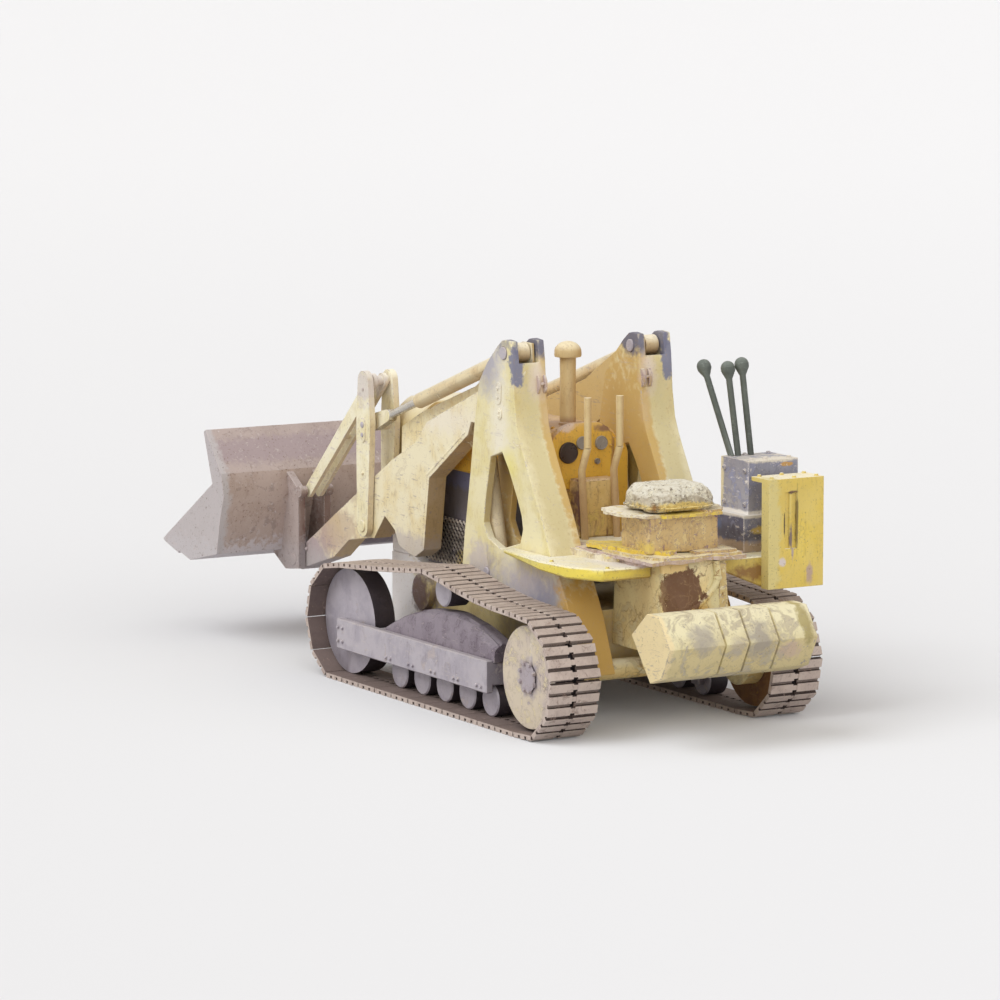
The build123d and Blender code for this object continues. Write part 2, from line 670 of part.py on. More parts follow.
# ---- Lift arms ----
ARM_SLAB = [
    (960, 1742), (1131, 1678), (1681, 1458), (1821, 1323), (2068, 1210), (2271, 1094), (2529, 946),
    (2770, 807), (2979, 683), (3190, 563), (3179, 445), (2773, 565), (2591, 687), (2328, 735), (2290, 735),
    (2164, 877), (2048, 812), (2002, 734), (1910, 707), (1818, 690), (1716, 743), (1655, 1150), (1222, 1438),
    (1188, 1512), (1050, 1512), (975, 1570),
]
ARM_WEB = [
    (700, 1980), (800, 1980), (960, 1884), (1183, 1760), (1300, 1690), (1745, 1540), (1926, 1475),
    (2130, 1380), (2138, 1160), (1655, 1165), (1222, 1440), (1000, 1560), (690, 1880),
]

# The lift rod's eye turns in a fork that is open to the rear and below.
ARM_FORK = [(900, 1650), (1225, 1650), (1225, 1300), (900, 1300)]


def lift_arm():
    """Thick plate arm with a thin web up to the tower's pin, three bores and the lift rod's fork."""
    arm = side_prism(ARM_SLAB, *ARM_Y)
    arm += side_prism(ARM_WEB, *ARM_WEB_Y)
    arm += cross_bar(BUCKET_PIVOT, 62, *ARM_Y)
    arm += cross_bar(LEVER_PIVOT, 70, *ARM_Y)
    arm -= cross_bar(LIFT_PIVOT, PIN_RADIUS + RUNNING_CLEARANCE, 0, 600)
    arm -= cross_bar(BUCKET_PIVOT, PIN_RADIUS + RUNNING_CLEARANCE, 0, 600)
    arm -= cross_bar(LEVER_PIVOT, PIN_RADIUS, 0, 600)
    return arm - side_prism(ARM_FORK, CYLINDER_Y - FORK_HALF_WIDTH, CYLINDER_Y + FORK_HALF_WIDTH)


def arm_cross_tube():
    """Round tube that ties the two arms together behind the bucket."""
    return cross_bar(CROSS_TUBE, CROSS_TUBE_RADIUS, -ARM_Y[0], ARM_Y[0])


def lever_pin():
    """Pin of one tilt lever, through the arm."""
    return cross_bar(LEVER_PIVOT, PIN_RADIUS, LEVER_INNER_Y[0] - 8, LEVER_OUTER_Y[1] + 8)


# ---- Tilt linkage ----
def tilt_lever():
    """Two upright plates that straddle the arm, with the top pin and the rod's two bosses."""
    lever = None
    for y0, y1 in (LEVER_OUTER_Y, LEVER_INNER_Y):
        plate = link_plate(LEVER_PIVOT, ROD_POINT, 62, 82, y0, y1)
        plate += link_plate(ROD_POINT, LEVER_TOP, 82, 60, y0, y1)
        lever = plate if lever is None else lever + plate
    lever -= cross_bar(LEVER_PIVOT, PIN_RADIUS + RUNNING_CLEARANCE, 0, 600)
    lever += cross_bar(LEVER_TOP, SMALL_PIN_RADIUS, LEVER_INNER_Y[0], LEVER_OUTER_Y[1])
    lever += cross_bar(ROD_POINT, 45, LEVER_INNER_Y[1], 371.5)
    return lever + cross_bar(ROD_POINT, 45, 433.5, LEVER_OUTER_Y[0])


def tilt_link():
    """Pair of flat bars with their own spacer, from the lever's top pin to the bucket's bracket."""
    link = link_plate(LEVER_TOP, LINK_POINT, 42, 36, 346.5, 371.5)
    link += link_plate(LEVER_TOP, LINK_POINT, 42, 36, 413.5, 438.5)
    link += cross_bar(along(LEVER_TOP, LINK_POINT, 520), 20, 371.5, 413.5)
    return link - cross_bar(LEVER_TOP, SMALL_PIN_RADIUS + RUNNING_CLEARANCE, 0, 600)


# ---- Cylinders ----
def cylinder_point(base, eye, distance):
    """Point on a cylinder's axis, at a distance from its base pin."""
    x, z = along(base, eye, distance)
    return (x, CYLINDER_Y, z)


def tilt_barrel():
    """Barrel of the tilt cylinder on the arm's top pin, bored for its rod."""
    base, eye = LIFT_PIVOT, ROD_POINT
    barrel = cross_bar(base, TILT_FOOT_RADIUS, CYLINDER_Y - 40, CYLINDER_Y + 40)
    mouth = cylinder_point(base, eye, TILT_BARREL_END)
    barrel += rod_between(cylinder_point(base, eye, 20), mouth, TILT_BARREL_RADIUS)
    bore = rod_between(
        cylinder_point(base, eye, TILT_BORE_START),
        cylinder_point(base, eye, TILT_BARREL_END + 10),
        TILT_ROD_RADIUS + RUNNING_CLEARANCE,
    )
    return barrel - bore - cross_bar(base, PIN_RADIUS + RUNNING_CLEARANCE, 0, 600)


def tilt_rod():
    """Rod of the tilt cylinder, with a flat tapered eye at the lever."""
    base, eye = LIFT_PIVOT, ROD_POINT
    length = math.dist(base, eye)
    start, end = cylinder_point(base, eye, TILT_ROD_START), cylinder_point(base, eye, length - 30)
    rod = rod_between(start, end, TILT_ROD_RADIUS)
    return rod + link_plate(eye, along(base, eye, length - 170), 48, 34, CYLINDER_Y - 25, CYLINDER_Y + 25)


def lift_barrel():
    """Barrel of the lift cylinder on the tower's lower pin, bored for its rod."""
    base, eye = LIFT_BASE, LIFT_POINT
    barrel = cross_bar(base, LIFT_FOOT_RADIUS, CYLINDER_Y - 35, CYLINDER_Y + 35)
    mouth = cylinder_point(base, eye, LIFT_BARREL_END)
    barrel += rod_between(cylinder_point(base, eye, 20), mouth, LIFT_BARREL_RADIUS)
    bore = rod_between(
        cylinder_point(base, eye, LIFT_BORE_START),
        cylinder_point(base, eye, LIFT_BARREL_END + 10),
        LIFT_ROD_RADIUS + RUNNING_CLEARANCE,
    )
    return barrel - bore - cross_bar(base, SMALL_PIN_RADIUS + RUNNING_CLEARANCE, 0, 600)


def lift_rod():
    """Rod of the lift cylinder, with the round eye that turns in the arm's fork."""
    base, eye = LIFT_BASE, LIFT_POINT
    length = math.dist(base, eye)
    start, end = cylinder_point(base, eye, LIFT_ROD_START), cylinder_point(base, eye, length - 20)
    rod = rod_between(start, end, LIFT_ROD_RADIUS)
    return rod + cross_bar(eye, 40, CYLINDER_Y - 20, CYLINDER_Y + 20)


# ---- Bucket ----
BUCKET_OUTER = [
    (BUCKET_TIP_X, 551), (3663, 467), (3320, 545), (3282, 722), (3226, 894), (3255, 1018), (3454, 1251),
]
BUCKET_INNER = [
    (BUCKET_TIP_X, 551), (3662, 491), (3342, 563), (3304, 726), (3249, 893), (3276, 1010), (3471, 1237),
]


def bucket_shell():
    """Bent floor and back plate between two cheeks, with a cutting edge under its lip."""
    shell = side_prism(BUCKET_OUTER + BUCKET_INNER[:0:-1], -BUCKET_HALF_WIDTH, BUCKET_HALF_WIDTH)
    cheek = BUCKET_OUTER + [(3475, 1236), (3370, 947)]
    shell += side_prism(cheek, BUCKET_HALF_WIDTH - BUCKET_CHEEK, BUCKET_HALF_WIDTH)
    shell += side_prism(cheek, -BUCKET_HALF_WIDTH, BUCKET_CHEEK - BUCKET_HALF_WIDTH)
    tip, heel = BUCKET_OUTER[0], BUCKET_OUTER[1]
    inner = along(tip, heel, LIP_LENGTH)
    lip = [tip, inner, (inner[0], inner[1] - LIP_THICKNESS), (tip[0] - 20, tip[1] - LIP_THICKNESS)]
    return shell + side_prism(lip, -BUCKET_HALF_WIDTH, BUCKET_HALF_WIDTH)


def bucket_bracket():
    """Two plates behind the bucket, either side of the arm's toe and the link."""
    outline = [(3108, 457), (3108, 915), (3275, 1018), (3420, 700), (3420, 515), (3270, 437)]
    bracket = None
    for y0, y1 in ((453.5, 498.5), (286.5, 331.5)):
        plate = side_prism(outline, y0, y1)
        plate -= side_prism(BUCKET_OUTER + [(5000, 1251), (5000, 551)], 0, 600)
        plate += cross_bar(LINK_POINT, 32, y0, y1)
        bracket = plate if bracket is None else bracket + plate
    return bracket - cross_bar(BUCKET_PIVOT, PIN_RADIUS, 0, 600)


def bucket_pin():
    """Pin of one arm's toe in the bucket's bracket."""
    return cross_bar(BUCKET_PIVOT, PIN_RADIUS, 280, 506)


# ---- Write every node ----
def both(shape):
    """The piece and its mirror image."""
    return [shape, mirrored(shape)]


def main():
    """Build every node and write its STEP file."""
    os.makedirs("parts", exist_ok=True)
    sided = {
        "track": track(),
        "sprocket": sprocket(),
        "track_frame": track_frame(),
        "tower": tower(),
        "lift_arm": lift_arm(),
        "tilt_lever": tilt_lever(),
    }
    for name, shape in sided.items():
        save(f"{name}_left", shape)
        save(f"{name}_right", mirrored(shape))
    paired = {
        "idlers": idler(),
        "carrier_rollers": carrier_roller(),
        "spring_covers": spring_cover(),
        "engine_screens": engine_screen(),
        "lever_pins": lever_pin(),
        "tilt_links": tilt_link(),
        "tilt_barrels": tilt_barrel(),
        "tilt_rods": tilt_rod(),
        "lift_barrels": lift_barrel(),
        "lift_rods": lift_rod(),
        "bucket_brackets": bucket_bracket(),
        "bucket_pins": bucket_pin(),
    }
    for name, shape in paired.items():
        save(name, *both(shape))
    groups = {
        "bottom_rollers": bottom_rollers(),
        "cross_supports": cross_supports(),
        "tower_pins": tower_pins(),
    }
    for name, shapes in groups.items():
        save(name, *[piece for shape in shapes for piece in both(shape)])
    save("fender_left", left_fender())
    save("fender_right", right_fender())
    save("final_drives", final_drives())
    save("main_frame", main_frame())
    save("rear_case", rear_case())
    save("engine_block", engine_block())
    save("hood", hood())
    save("radiator_guard", radiator_guard())
    save("dashboard", dashboard())
    save("gauges", *gauges())
    save("console", console())
    save("steering_levers", *steering_levers())
    save("air_stack", air_stack())
    save("floor_plate", floor_plate())
    save("seat_frame", seat_frame())
    save("seat_cushion", seat_cushion())
    save("hydraulic_tank", hydraulic_tank())
    save("valve_block", valve_block())
    save("valve_levers", *valve_levers())
    save("counterweight", counterweight())
    save("arm_cross_tube", arm_cross_tube())
    save("bucket_shell", bucket_shell())


if __name__ == "__main__":
    main()
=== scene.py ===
"""Old crawler loader: the looks of its metal, paint and torn seat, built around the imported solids.

Metres, in the row frame: +X forward, +Y left, +Z up, origin on the ground at the middle of the length.
"""

from __future__ import annotations

import json
import logging
import math
import random
from collections.abc import Callable, Iterable
from dataclasses import dataclass, field, replace
from enum import IntEnum

import bmesh
import bpy
from mathutils import Matrix, Vector, noise
from mathutils.bvhtree import BVHTree

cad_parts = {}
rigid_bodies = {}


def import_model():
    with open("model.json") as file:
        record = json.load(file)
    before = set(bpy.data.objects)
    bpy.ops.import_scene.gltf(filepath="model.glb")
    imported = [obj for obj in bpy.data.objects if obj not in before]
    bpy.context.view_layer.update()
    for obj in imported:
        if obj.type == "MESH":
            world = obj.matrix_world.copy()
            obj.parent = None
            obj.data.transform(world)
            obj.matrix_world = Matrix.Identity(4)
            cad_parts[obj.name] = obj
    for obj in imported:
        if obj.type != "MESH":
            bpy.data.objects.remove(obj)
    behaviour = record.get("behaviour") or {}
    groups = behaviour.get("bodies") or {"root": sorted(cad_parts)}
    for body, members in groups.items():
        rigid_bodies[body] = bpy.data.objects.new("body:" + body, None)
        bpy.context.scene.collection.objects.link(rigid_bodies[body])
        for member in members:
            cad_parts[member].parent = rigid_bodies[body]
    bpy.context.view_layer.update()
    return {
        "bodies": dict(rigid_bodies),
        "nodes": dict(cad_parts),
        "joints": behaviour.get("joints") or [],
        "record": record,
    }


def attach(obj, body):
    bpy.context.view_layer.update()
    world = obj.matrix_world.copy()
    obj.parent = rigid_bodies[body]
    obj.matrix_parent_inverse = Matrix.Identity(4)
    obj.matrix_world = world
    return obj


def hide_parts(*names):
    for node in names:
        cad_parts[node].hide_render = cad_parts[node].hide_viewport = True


LOG = logging.getLogger("loader")
ORIGIN = 1.573  # the row frame's origin, measured forward from the sprocket axle
NOISE_SEED = 5  # without one, vector noise starts from the clock, and no two runs are the same
Point2 = tuple[float, float]
Point3 = tuple[float, float, float]
Colour = tuple[float, float, float, float]
Socket = bpy.types.NodeSocket
RAMP, MATHS, VECTOR_MATHS = "ShaderNodeMapRange", "ShaderNodeMath", "ShaderNodeVectorMath"
FORWARD, UP, DOWN = Vector((1, 0, 0)), Vector((0, 0, 1)), Vector((0, 0, -1))
OUTSIDE = 0.9  # further out than every plate, from where the place of a bolt is looked for


class Side(IntEnum):
    """The machine's two sides, as the sign of Y."""

    LEFT = 1
    RIGHT = -1

    @property
    def label(self) -> str:
        """The side's word in the names of nodes and pieces."""
        return self.name.lower()


def at(station: float, side: float, height: float) -> Vector:
    """A point of the row frame, from a station measured forward from the sprocket axle."""
    return Vector((station - ORIGIN, side, height))


def in_row_frame(outline: Iterable[Point2]) -> list[Point2]:
    """An outline whose first measure is a station, moved to the row frame."""
    return [(station - ORIGIN, other) for station, other in outline]


def linear(colour: str) -> Colour:
    """Turn an sRGB hex colour into the linear colour that a shader takes."""
    parts = [int(colour[i : i + 2], 16) / 255 for i in (1, 3, 5)]
    return (*[c / 12.92 if c <= 0.04045 else ((c + 0.055) / 1.055) ** 2.4 for c in parts], 1.0)


def add_node(
    tree: bpy.types.NodeTree, kind: str, inputs: dict | tuple = (), **settings: object
) -> bpy.types.Node:
    """Add a node to a tree.

    Args:
        tree: The shader or geometry tree.
        kind: The node's type name.
        inputs: Values or output sockets, in the order of the inputs or by their names or numbers.
        **settings: The node's own properties.

    Returns:
        The new node.
    """
    node = tree.nodes.new(kind)
    for name, value in settings.items():
        setattr(node, name, value)
    given = inputs if isinstance(inputs, dict) else dict(enumerate(inputs))
    for name, value in given.items():
        if isinstance(value, Socket):
            tree.links.new(value, node.inputs[name])
        else:
            node.inputs[name].default_value = value
    return node


# ---- Finishes ----


@dataclass(frozen=True)
class Zone:
    """A soft ellipsoid of a surface tinted another way: worn, stained or bleached by time, and in some zones
    painted shade or a painted highlight.
    """

    centre: Vector
    reach: Point3
    tint: str
    strength: float = 0.85
    soft: float = 0.25


def pair(
    station: float,
    side: float,
    height: float,
    reach: Point3,
    tint: str,
    strength: float = 0.85,
    soft: float = 0.25,
) -> tuple[Zone, Zone]:
    """The same zone on both sides of the machine."""
    return tuple(Zone(at(station, sign * side, height), reach, tint, strength, soft) for sign in Side)


@dataclass(frozen=True)
class Finish:
    """One real surface: its coat, the shade painted on its faces turned from the lamp, and what age has done
    to it. Lengths are in millimetres.
    """

    name: str
    slot: str
    coat: str
    second: str
    faded: str
    # The colour of the faces turned from the lamp: painted shade.
    sheltered: str
    bare: str
    stain: str
    patch: str
    blotch_mm: float = 170.0
    chip_mm: float = 48.0
    chip_share: float = 0.1
    patch_mm: float = 110.0
    patch_share: float = 0.1
    streak_mm: float = 17.0
    streak_share: float = 0.3
    scuff_mm: float = 30.0
    scuff_share: float = 0.25
    speck_mm: float = 13.0
    speck_share: float = 0.35
    craze_mm: float = 0.0
    edge_mm: float = 8.0
    edge_wear: float = 0.5
    grit_mm: float = 8.0
    grit_depth_mm: float = 0.4
    chip_depth_mm: float = 0.9
    dent_depth_mm: float = 2.0
    metallic: float = 0.0
    roughness: float = 0.62
    fade: float = 0.7
    # How strongly the painted shade is laid on.
    shelter: float = 0.75
    zones: tuple[Zone, ...] = ()

    def material(self) -> bpy.types.Material:
        """Make the finish's procedural material, or take it if it is already there.

        Returns:
            The material.
        """
        found = bpy.data.materials.get(self.name)
        if found:
            return found
        material = bpy.data.materials.new(self.name)
        material.use_nodes = True
        material.node_tree.nodes.clear()
        Layers(material.node_tree, self).build()
        return material


class Layers:
    """A finish's shader: its coat, then painted shade and each mark of age over it, in the order that they
    came.
    """

    def __init__(self, tree: bpy.types.NodeTree, finish: Finish) -> None:
        """Keep the finish and its tree, and make the noises that the layers share.

        Args:
            tree: An empty shader tree.
            finish: The finish that it is for.
        """
        self.tree = tree
        self.finish = finish
        where = add_node(tree, "ShaderNodeTexCoord")
        self.place, self.normal = where.outputs["Object"], where.outputs["Normal"]
        self.broad = self._blots(self.place, finish.blotch_mm, 5.0)
        self.fine = self._blots(self.place, finish.chip_mm, 9.0)
        self.flakes = self._blots(self.place, finish.patch_mm, 8.0, 1.1)
        self.colour: Socket | Colour = linear(finish.coat)

    def build(self) -> None:
        """Lay every layer, and join the result to the shader."""
        finish = self.finish
        self._tint(finish.second, self._add(RAMP, (self.broad, 0.44, 0.6)))
        # Painted shade on the faces turned from the lamp.
        self._shelter()
        self._bleach()
        self._streaks()
        patches = self._patches()
        for zone in finish.zones:
            self._zone(zone)
        if finish.craze_mm:
            self._craze()
        self._scuffs()
        self._specks()
        worn = self._wear()
        sunk = self._add(MATHS, (patches, 0.5), operation="MULTIPLY")
        sunk = self._add(MATHS, (worn, sunk), operation="ADD")
        rough = (self.fine, 0.3, 0.7, finish.roughness - 0.08, min(1.0, finish.roughness + 0.14))
        inputs = {
            "Base Color": self.colour,
            "Roughness": self._add(RAMP, rough),
            "Normal": self._relief(sunk),
            "Metallic": finish.metallic,
        }
        shader = self._add("ShaderNodeBsdfPrincipled", inputs)
        add_node(self.tree, "ShaderNodeOutputMaterial", {"Surface": shader})

    def _add(self, kind: str, inputs: dict | tuple, output: int | str = 0, **settings: object) -> Socket:
        """Add a node to the finish's tree and take one of its outputs."""
        return add_node(self.tree, kind, inputs, **settings).outputs[output]

    def _blots(self, place: Socket, size_mm: float, detail: float, bend: float = 0.35) -> Socket:
        """Where blots of a size lie, as fractal noise.

        Args:
            place: The coordinates to read it at.
            size_mm: How far across the largest blots are.
            detail: How many finer sizes are in it.
            bend: How much the blots are pulled about.

        Returns:
            The noise, mostly between 0.3 and 0.7.
        """
        inputs = {
            "Vector": place,
            "Scale": 1000.0 / size_mm,
            "Detail": detail,
            "Roughness": 0.6,
            "Distortion": bend,
        }
        return self._add("ShaderNodeTexNoise", inputs, "Fac")

    def _tint(self, colour: str, *shares: Socket) -> None:
        """Lay a colour over what is there.

        Args:
            colour: As sRGB hex.
            *shares: How strongly, from 0 to 1; several are multiplied.
        """
        share = shares[0]
        for other in shares[1:]:
            share = self._add(MATHS, (share, other), operation="MULTIPLY")
        inputs = {"Factor": share, 6: self.colour, 7: linear(colour)}
        self.colour = self._add("ShaderNodeMix", inputs, 2, data_type="RGBA")

    def _shelter(self) -> None:
        """Painted shade: a darker, stronger colour where a face is turned from the sun lamp."""
        inputs = (self.normal, Vector((0.1, 0.75, 0.6)).normalized())
        facing = self._add(VECTOR_MATHS, inputs, "Value", operation="DOT_PRODUCT")
        self._tint(self.finish.sheltered, self._add(RAMP, (facing, 0.35, -0.35, 0.0, self.finish.shelter)))

    def _bleach(self) -> None:
        """Sun-bleached paint on the faces that look up."""
        upward = self._add("ShaderNodeSeparateXYZ", (self.normal,), "Z")
        share = self._add(RAMP, (upward, 0.2, 0.8, 0.0, self.finish.fade))
        self._tint(self.finish.faded, share, self._add(RAMP, (self.broad, 0.3, 0.6, 0.6, 1.0)))

    def _streaks(self) -> None:
        """Short stains that run down with the rain, in places."""
        stretched = self._add("ShaderNodeMapping", {"Vector": self.place, "Scale": (1.0, 1.0, 0.24)})
        runs = self._blots(stretched, self.finish.streak_mm, 3.0)
        share = self._add(RAMP, (runs, 0.52, 0.7, 0.0, self.finish.streak_share))
        self._tint(self.finish.stain, share, self._add(RAMP, (self.broad, 0.42, 0.58)))

    def _patches(self) -> Socket:
        """Flaked patches, each with a dirty line round it.

        Returns:
            Where the patches are.
        """
        limit = 0.7 - 0.28 * self.finish.patch_share
        self._tint(self.finish.stain, self._add(RAMP, (self.flakes, limit - 0.04, limit, 0.0, 0.22)))
        patches = self._add(RAMP, (self.flakes, limit, limit + 0.04, 0.0, 0.85))
        self._tint(self.finish.patch, patches)
        return patches

    def _zone(self, zone: Zone) -> None:
        """Tint one zone, with a ragged border.

        Args:
            zone: The zone.
        """
        offset = self._add(VECTOR_MATHS, (self.place, zone.centre), operation="SUBTRACT")
        scaled = self._add(VECTOR_MATHS, (offset, zone.reach), operation="DIVIDE")
        distance = self._add(VECTOR_MATHS, (scaled,), "Value", operation="LENGTH")
        uneven = self._add(RAMP, (self.fine, 0.25, 0.75, -0.4, 0.4))
        border = self._add(MATHS, (distance, uneven), operation="ADD")
        share = (border, 1.0 + zone.soft, 1.0 - zone.soft, 0.0, zone.strength)
        self._tint(zone.tint, self._add(RAMP, share))

    def _craze(self) -> None:
        """Fine cracks through a thick old coat, in patches."""
        size = self.finish.craze_mm
        inputs = {"Vector": self.place, "Scale": 1600.0 / size, "Detail": 4.0}
        warp = self._add("ShaderNodeTexNoise", inputs, "Color")
        push = self._add(VECTOR_MATHS, {0: warp, "Scale": 0.0013 * size}, operation="SCALE")
        bent = self._add(VECTOR_MATHS, (self.place, push), operation="ADD")
        inputs = {"Vector": bent, "Scale": 1000.0 / size}
        cells = self._add("ShaderNodeTexVoronoi", inputs, "Distance", feature="DISTANCE_TO_EDGE")
        line = self._add(RAMP, (cells, 0.04, 0.0))
        self._tint(self.finish.stain, line, self._add(RAMP, (self.broad, 0.44, 0.56, 0.0, 0.7)))

    def _scuffs(self) -> None:
        """Slanting scratches down to the primer, in bunches."""
        inputs = {"Vector": self.place, "Rotation": (0.5, 0.25, 0.35), "Scale": (0.3, 1.6, 2.2)}
        hairs = self._blots(self._add("ShaderNodeMapping", inputs), self.finish.scuff_mm, 6.0, 0.8)
        share = self._add(RAMP, (hairs, 0.56, 0.62, 0.0, self.finish.scuff_share))
        self._tint(self.finish.bare, share, self._add(RAMP, (self.flakes, 0.48, 0.58)))

    def _specks(self) -> None:
        """Spatter of dirt and rust dots."""
        dots = self._blots(self.place, self.finish.speck_mm, 2.0, 0.0)
        share = self._add(RAMP, (dots, 0.62, 0.68, 0.0, self.finish.speck_share))
        self._tint(self.finish.stain, share, self._add(RAMP, (self.broad, 0.36, 0.6, 0.15, 1.0)))

    def _wear(self) -> Socket:
        """Bare metal where chips and rubbed edges have lost the coat.

        Returns:
            Where it is bare.
        """
        finish = self.finish
        soft = self._add("ShaderNodeBevel", {"Radius": finish.edge_mm / 1000.0}, samples=4)
        true = self._add("ShaderNodeNewGeometry", (), "Normal")
        same = self._add(VECTOR_MATHS, (soft, true), "Value", operation="DOT_PRODUCT")
        edge = self._add(RAMP, (same, 0.998, 0.9))
        reach = self._add(MATHS, (edge, 0.3 * finish.edge_wear), operation="MULTIPLY")
        loss = self._add(MATHS, (self.fine, reach), operation="ADD")
        limit = 0.74 - 0.4 * finish.chip_share
        worn = self._add(RAMP, (loss, limit, limit + 0.04))
        self._tint(finish.bare, worn)
        return worn

    def _relief(self, sunk: Socket) -> Socket:
        """Bump of dents, chips and grit, in their real depths.

        Args:
            sunk: Where the coat is chipped off.

        Returns:
            The bumped normal.
        """
        finish = self.finish
        below: dict = {}
        for height, depth_mm, inverted in (
            (self.broad, finish.dent_depth_mm, False),
            (sunk, finish.chip_depth_mm, True),
            (self._blots(self.place, finish.grit_mm, 3.0), finish.grit_depth_mm, False),
        ):
            inputs = {"Height": height, "Distance": depth_mm / 1000.0, "Strength": 0.8, **below}
            below = {"Normal": self._add("ShaderNodeBump", inputs, invert=inverted)}
        return below["Normal"]


# ---- Meshes ----


class Shape:
    """A mesh put together from simple solids, in the row frame."""

    def __init__(self) -> None:
        """Start empty."""
        self.mesh = bmesh.new()

    def loft(self, rings: list[list[Vector]]) -> "Shape":
        """Skin rings of equally many points, and cap both ends.

        Args:
            rings: The rings in order, each going round the same way.

        Returns:
            This shape.
        """
        count = len(rings[0])
        made = [self.mesh.verts.new(point) for ring in rings for point in ring]
        for low, high in zip(range(0, len(made), count), range(count, len(made), count)):
            for j in range(count):
                k = (j + 1) % count
                self.mesh.faces.new([made[low + j], made[low + k], made[high + k], made[high + j]])
        self.mesh.faces.new(made[:count][::-1])
        self.mesh.faces.new(made[-count:])
        return self

    def prism(self, outline: list[Point2], y0: float, y1: float) -> "Shape":
        """Solid of an (x, z) outline between two sides."""
        return self.loft([[Vector((x, y, z)) for x, z in outline] for y in (y0, y1)])

    def slab(self, outline: list[Point2], z0: float, z1: float) -> "Shape":
        """Solid of an (x, y) outline between two heights."""
        return self.loft([[Vector((x, y, z)) for x, y in outline] for z in (z0, z1)])

    def box(self, low: Vector, high: Vector) -> "Shape":
        """Block between two corners."""
        outline = [(low.x, low.z), (high.x, low.z), (high.x, high.z), (low.x, high.z)]
        return self.prism(outline, low.y, high.y)

    def turned(self, origin: Vector, axis: Vector, profile: list[Point2], sides: int = 32) -> "Shape":
        """Add a turned solid.

        Args:
            origin: Where the profile's distances start.
            axis: The way that they go.
            profile: (distance along the axis, radius), from one end to the other.
            sides: How many flats it has round it.

        Returns:
            This shape.
        """
        turn = axis.normalized().to_track_quat("Z", "Y").to_matrix()
        rings = []
        for height, radius in profile:
            ring = []
            for i in range(sides):
                angle = math.tau * i / sides
                x, y = radius * math.cos(angle), radius * math.sin(angle)
                ring.append(origin + turn @ Vector((x, y, height)))
            rings.append(ring)
        return self.loft(rings)

    def bar(self, start: Vector, end: Vector, radius: float, sides: int) -> "Shape":
        """Round bar between two points."""
        profile = [(0.0, radius), ((end - start).length, radius)]
        return self.turned(start, end - start, profile, sides)

    def pipe(self, path: list[Vector], radius: float, sides: int) -> "Shape":
        """Add a round bar that follows a path, without twist.

        Args:
            path: The points of its middle line.
            radius: Of the bar.
            sides: How many flats it has round it.

        Returns:
            This shape.
        """
        rings = []
        up = Vector((0.0, 0.0, 1.0))
        for i, point in enumerate(path):
            before, after = path[max(0, i - 1)], path[min(len(path) - 1, i + 1)]
            along = (after - before).normalized()
            side = along.cross(up)
            side = side.normalized() if side.length > 1e-3 else Vector((0.0, 1.0, 0.0))
            up = side.cross(along).normalized()
            ring = []
            for j in range(sides):
                angle = math.tau * j / sides
                ring.append(point + side * (radius * math.cos(angle)) + up * (radius * math.sin(angle)))
            rings.append(ring)
        return self.loft(rings)

    def cells(
        self, xs: list[float], ys: list[float], zs: list[float], heights: list[list[float]]
    ) -> "Shape":
        """Add a stepped block on a grid.

        Args:
            xs: Where the grid is cut along X.
            ys: Where it is cut along Y.
            zs: Where it is cut along Z.
            heights: How high the cell that starts at xs[i], ys[j] stands, 0 for a hole.

        Returns:
            This shape.
        """
        points: dict[tuple[int, int, int], bmesh.types.BMVert] = {}

        def corner(i: int, j: int, k: int) -> bmesh.types.BMVert:
            """The shared vertex of a grid corner."""
            if (i, j, k) not in points:
                points[i, j, k] = self.mesh.verts.new((xs[i], ys[j], zs[k]))
            return points[i, j, k]

        def solid(i: int, j: int, k: int) -> bool:
            """Whether a cell is filled."""
            inside = 0 <= i < len(xs) - 1 and 0 <= j < len(ys) - 1 and 0 <= k < len(zs) - 1
            return inside and zs[k + 1] <= heights[i][j] + 1e-9

        steps = ((1, 0, 0), (-1, 0, 0), (0, 1, 0), (0, -1, 0), (0, 0, 1), (0, 0, -1))
        for i in range(len(xs) - 1):
            for j in range(len(ys) - 1):
                for k in range(len(zs) - 1):
                    if not solid(i, j, k):
                        continue
                    for di, dj, dk in steps:
                        if solid(i + di, j + dj, k + dk):
                            continue
                        a, b, c = i + max(di, 0), j + max(dj, 0), k + max(dk, 0)
                        if di:
                            ring = [(a, j, k), (a, j + 1, k), (a, j + 1, k + 1), (a, j, k + 1)]
                        elif dj:
                            ring = [(i, b, k), (i + 1, b, k), (i + 1, b, k + 1), (i, b, k + 1)]
                        else:
                            ring = [(i, j, c), (i + 1, j, c), (i + 1, j + 1, c), (i, j + 1, c)]
                        self.mesh.faces.new([corner(*r) for r in ring])
        return self

    def both(self) -> "Shape":
        """Add the same solids on the machine's other side.

        Returns:
            This shape.
        """
        mesh = self.mesh
        copied = bmesh.ops.duplicate(mesh, geom=mesh.verts[:] + mesh.edges[:] + mesh.faces[:])
        for item in copied["geom"]:
            if isinstance(item, bmesh.types.BMVert):
                item.co.y = -item.co.y
        return self

    def roughen(self, amount: float, size: float, cut: float, seed: float) -> "Shape":
        """Push every point a little, as hand-worked board and plate are never flat.

        Args:
            amount: The furthest that a point goes, in metres.
            size: Of the bumps.
            cut: The longest edge to leave.
            seed: Where in the noise the bumps are taken.

        Returns:
            This shape.
        """
        self.divide(cut)
        for vert in self.mesh.verts:
            vert.co += noise.noise_vector(vert.co / size + Vector((seed, seed, seed))) * amount
        return self

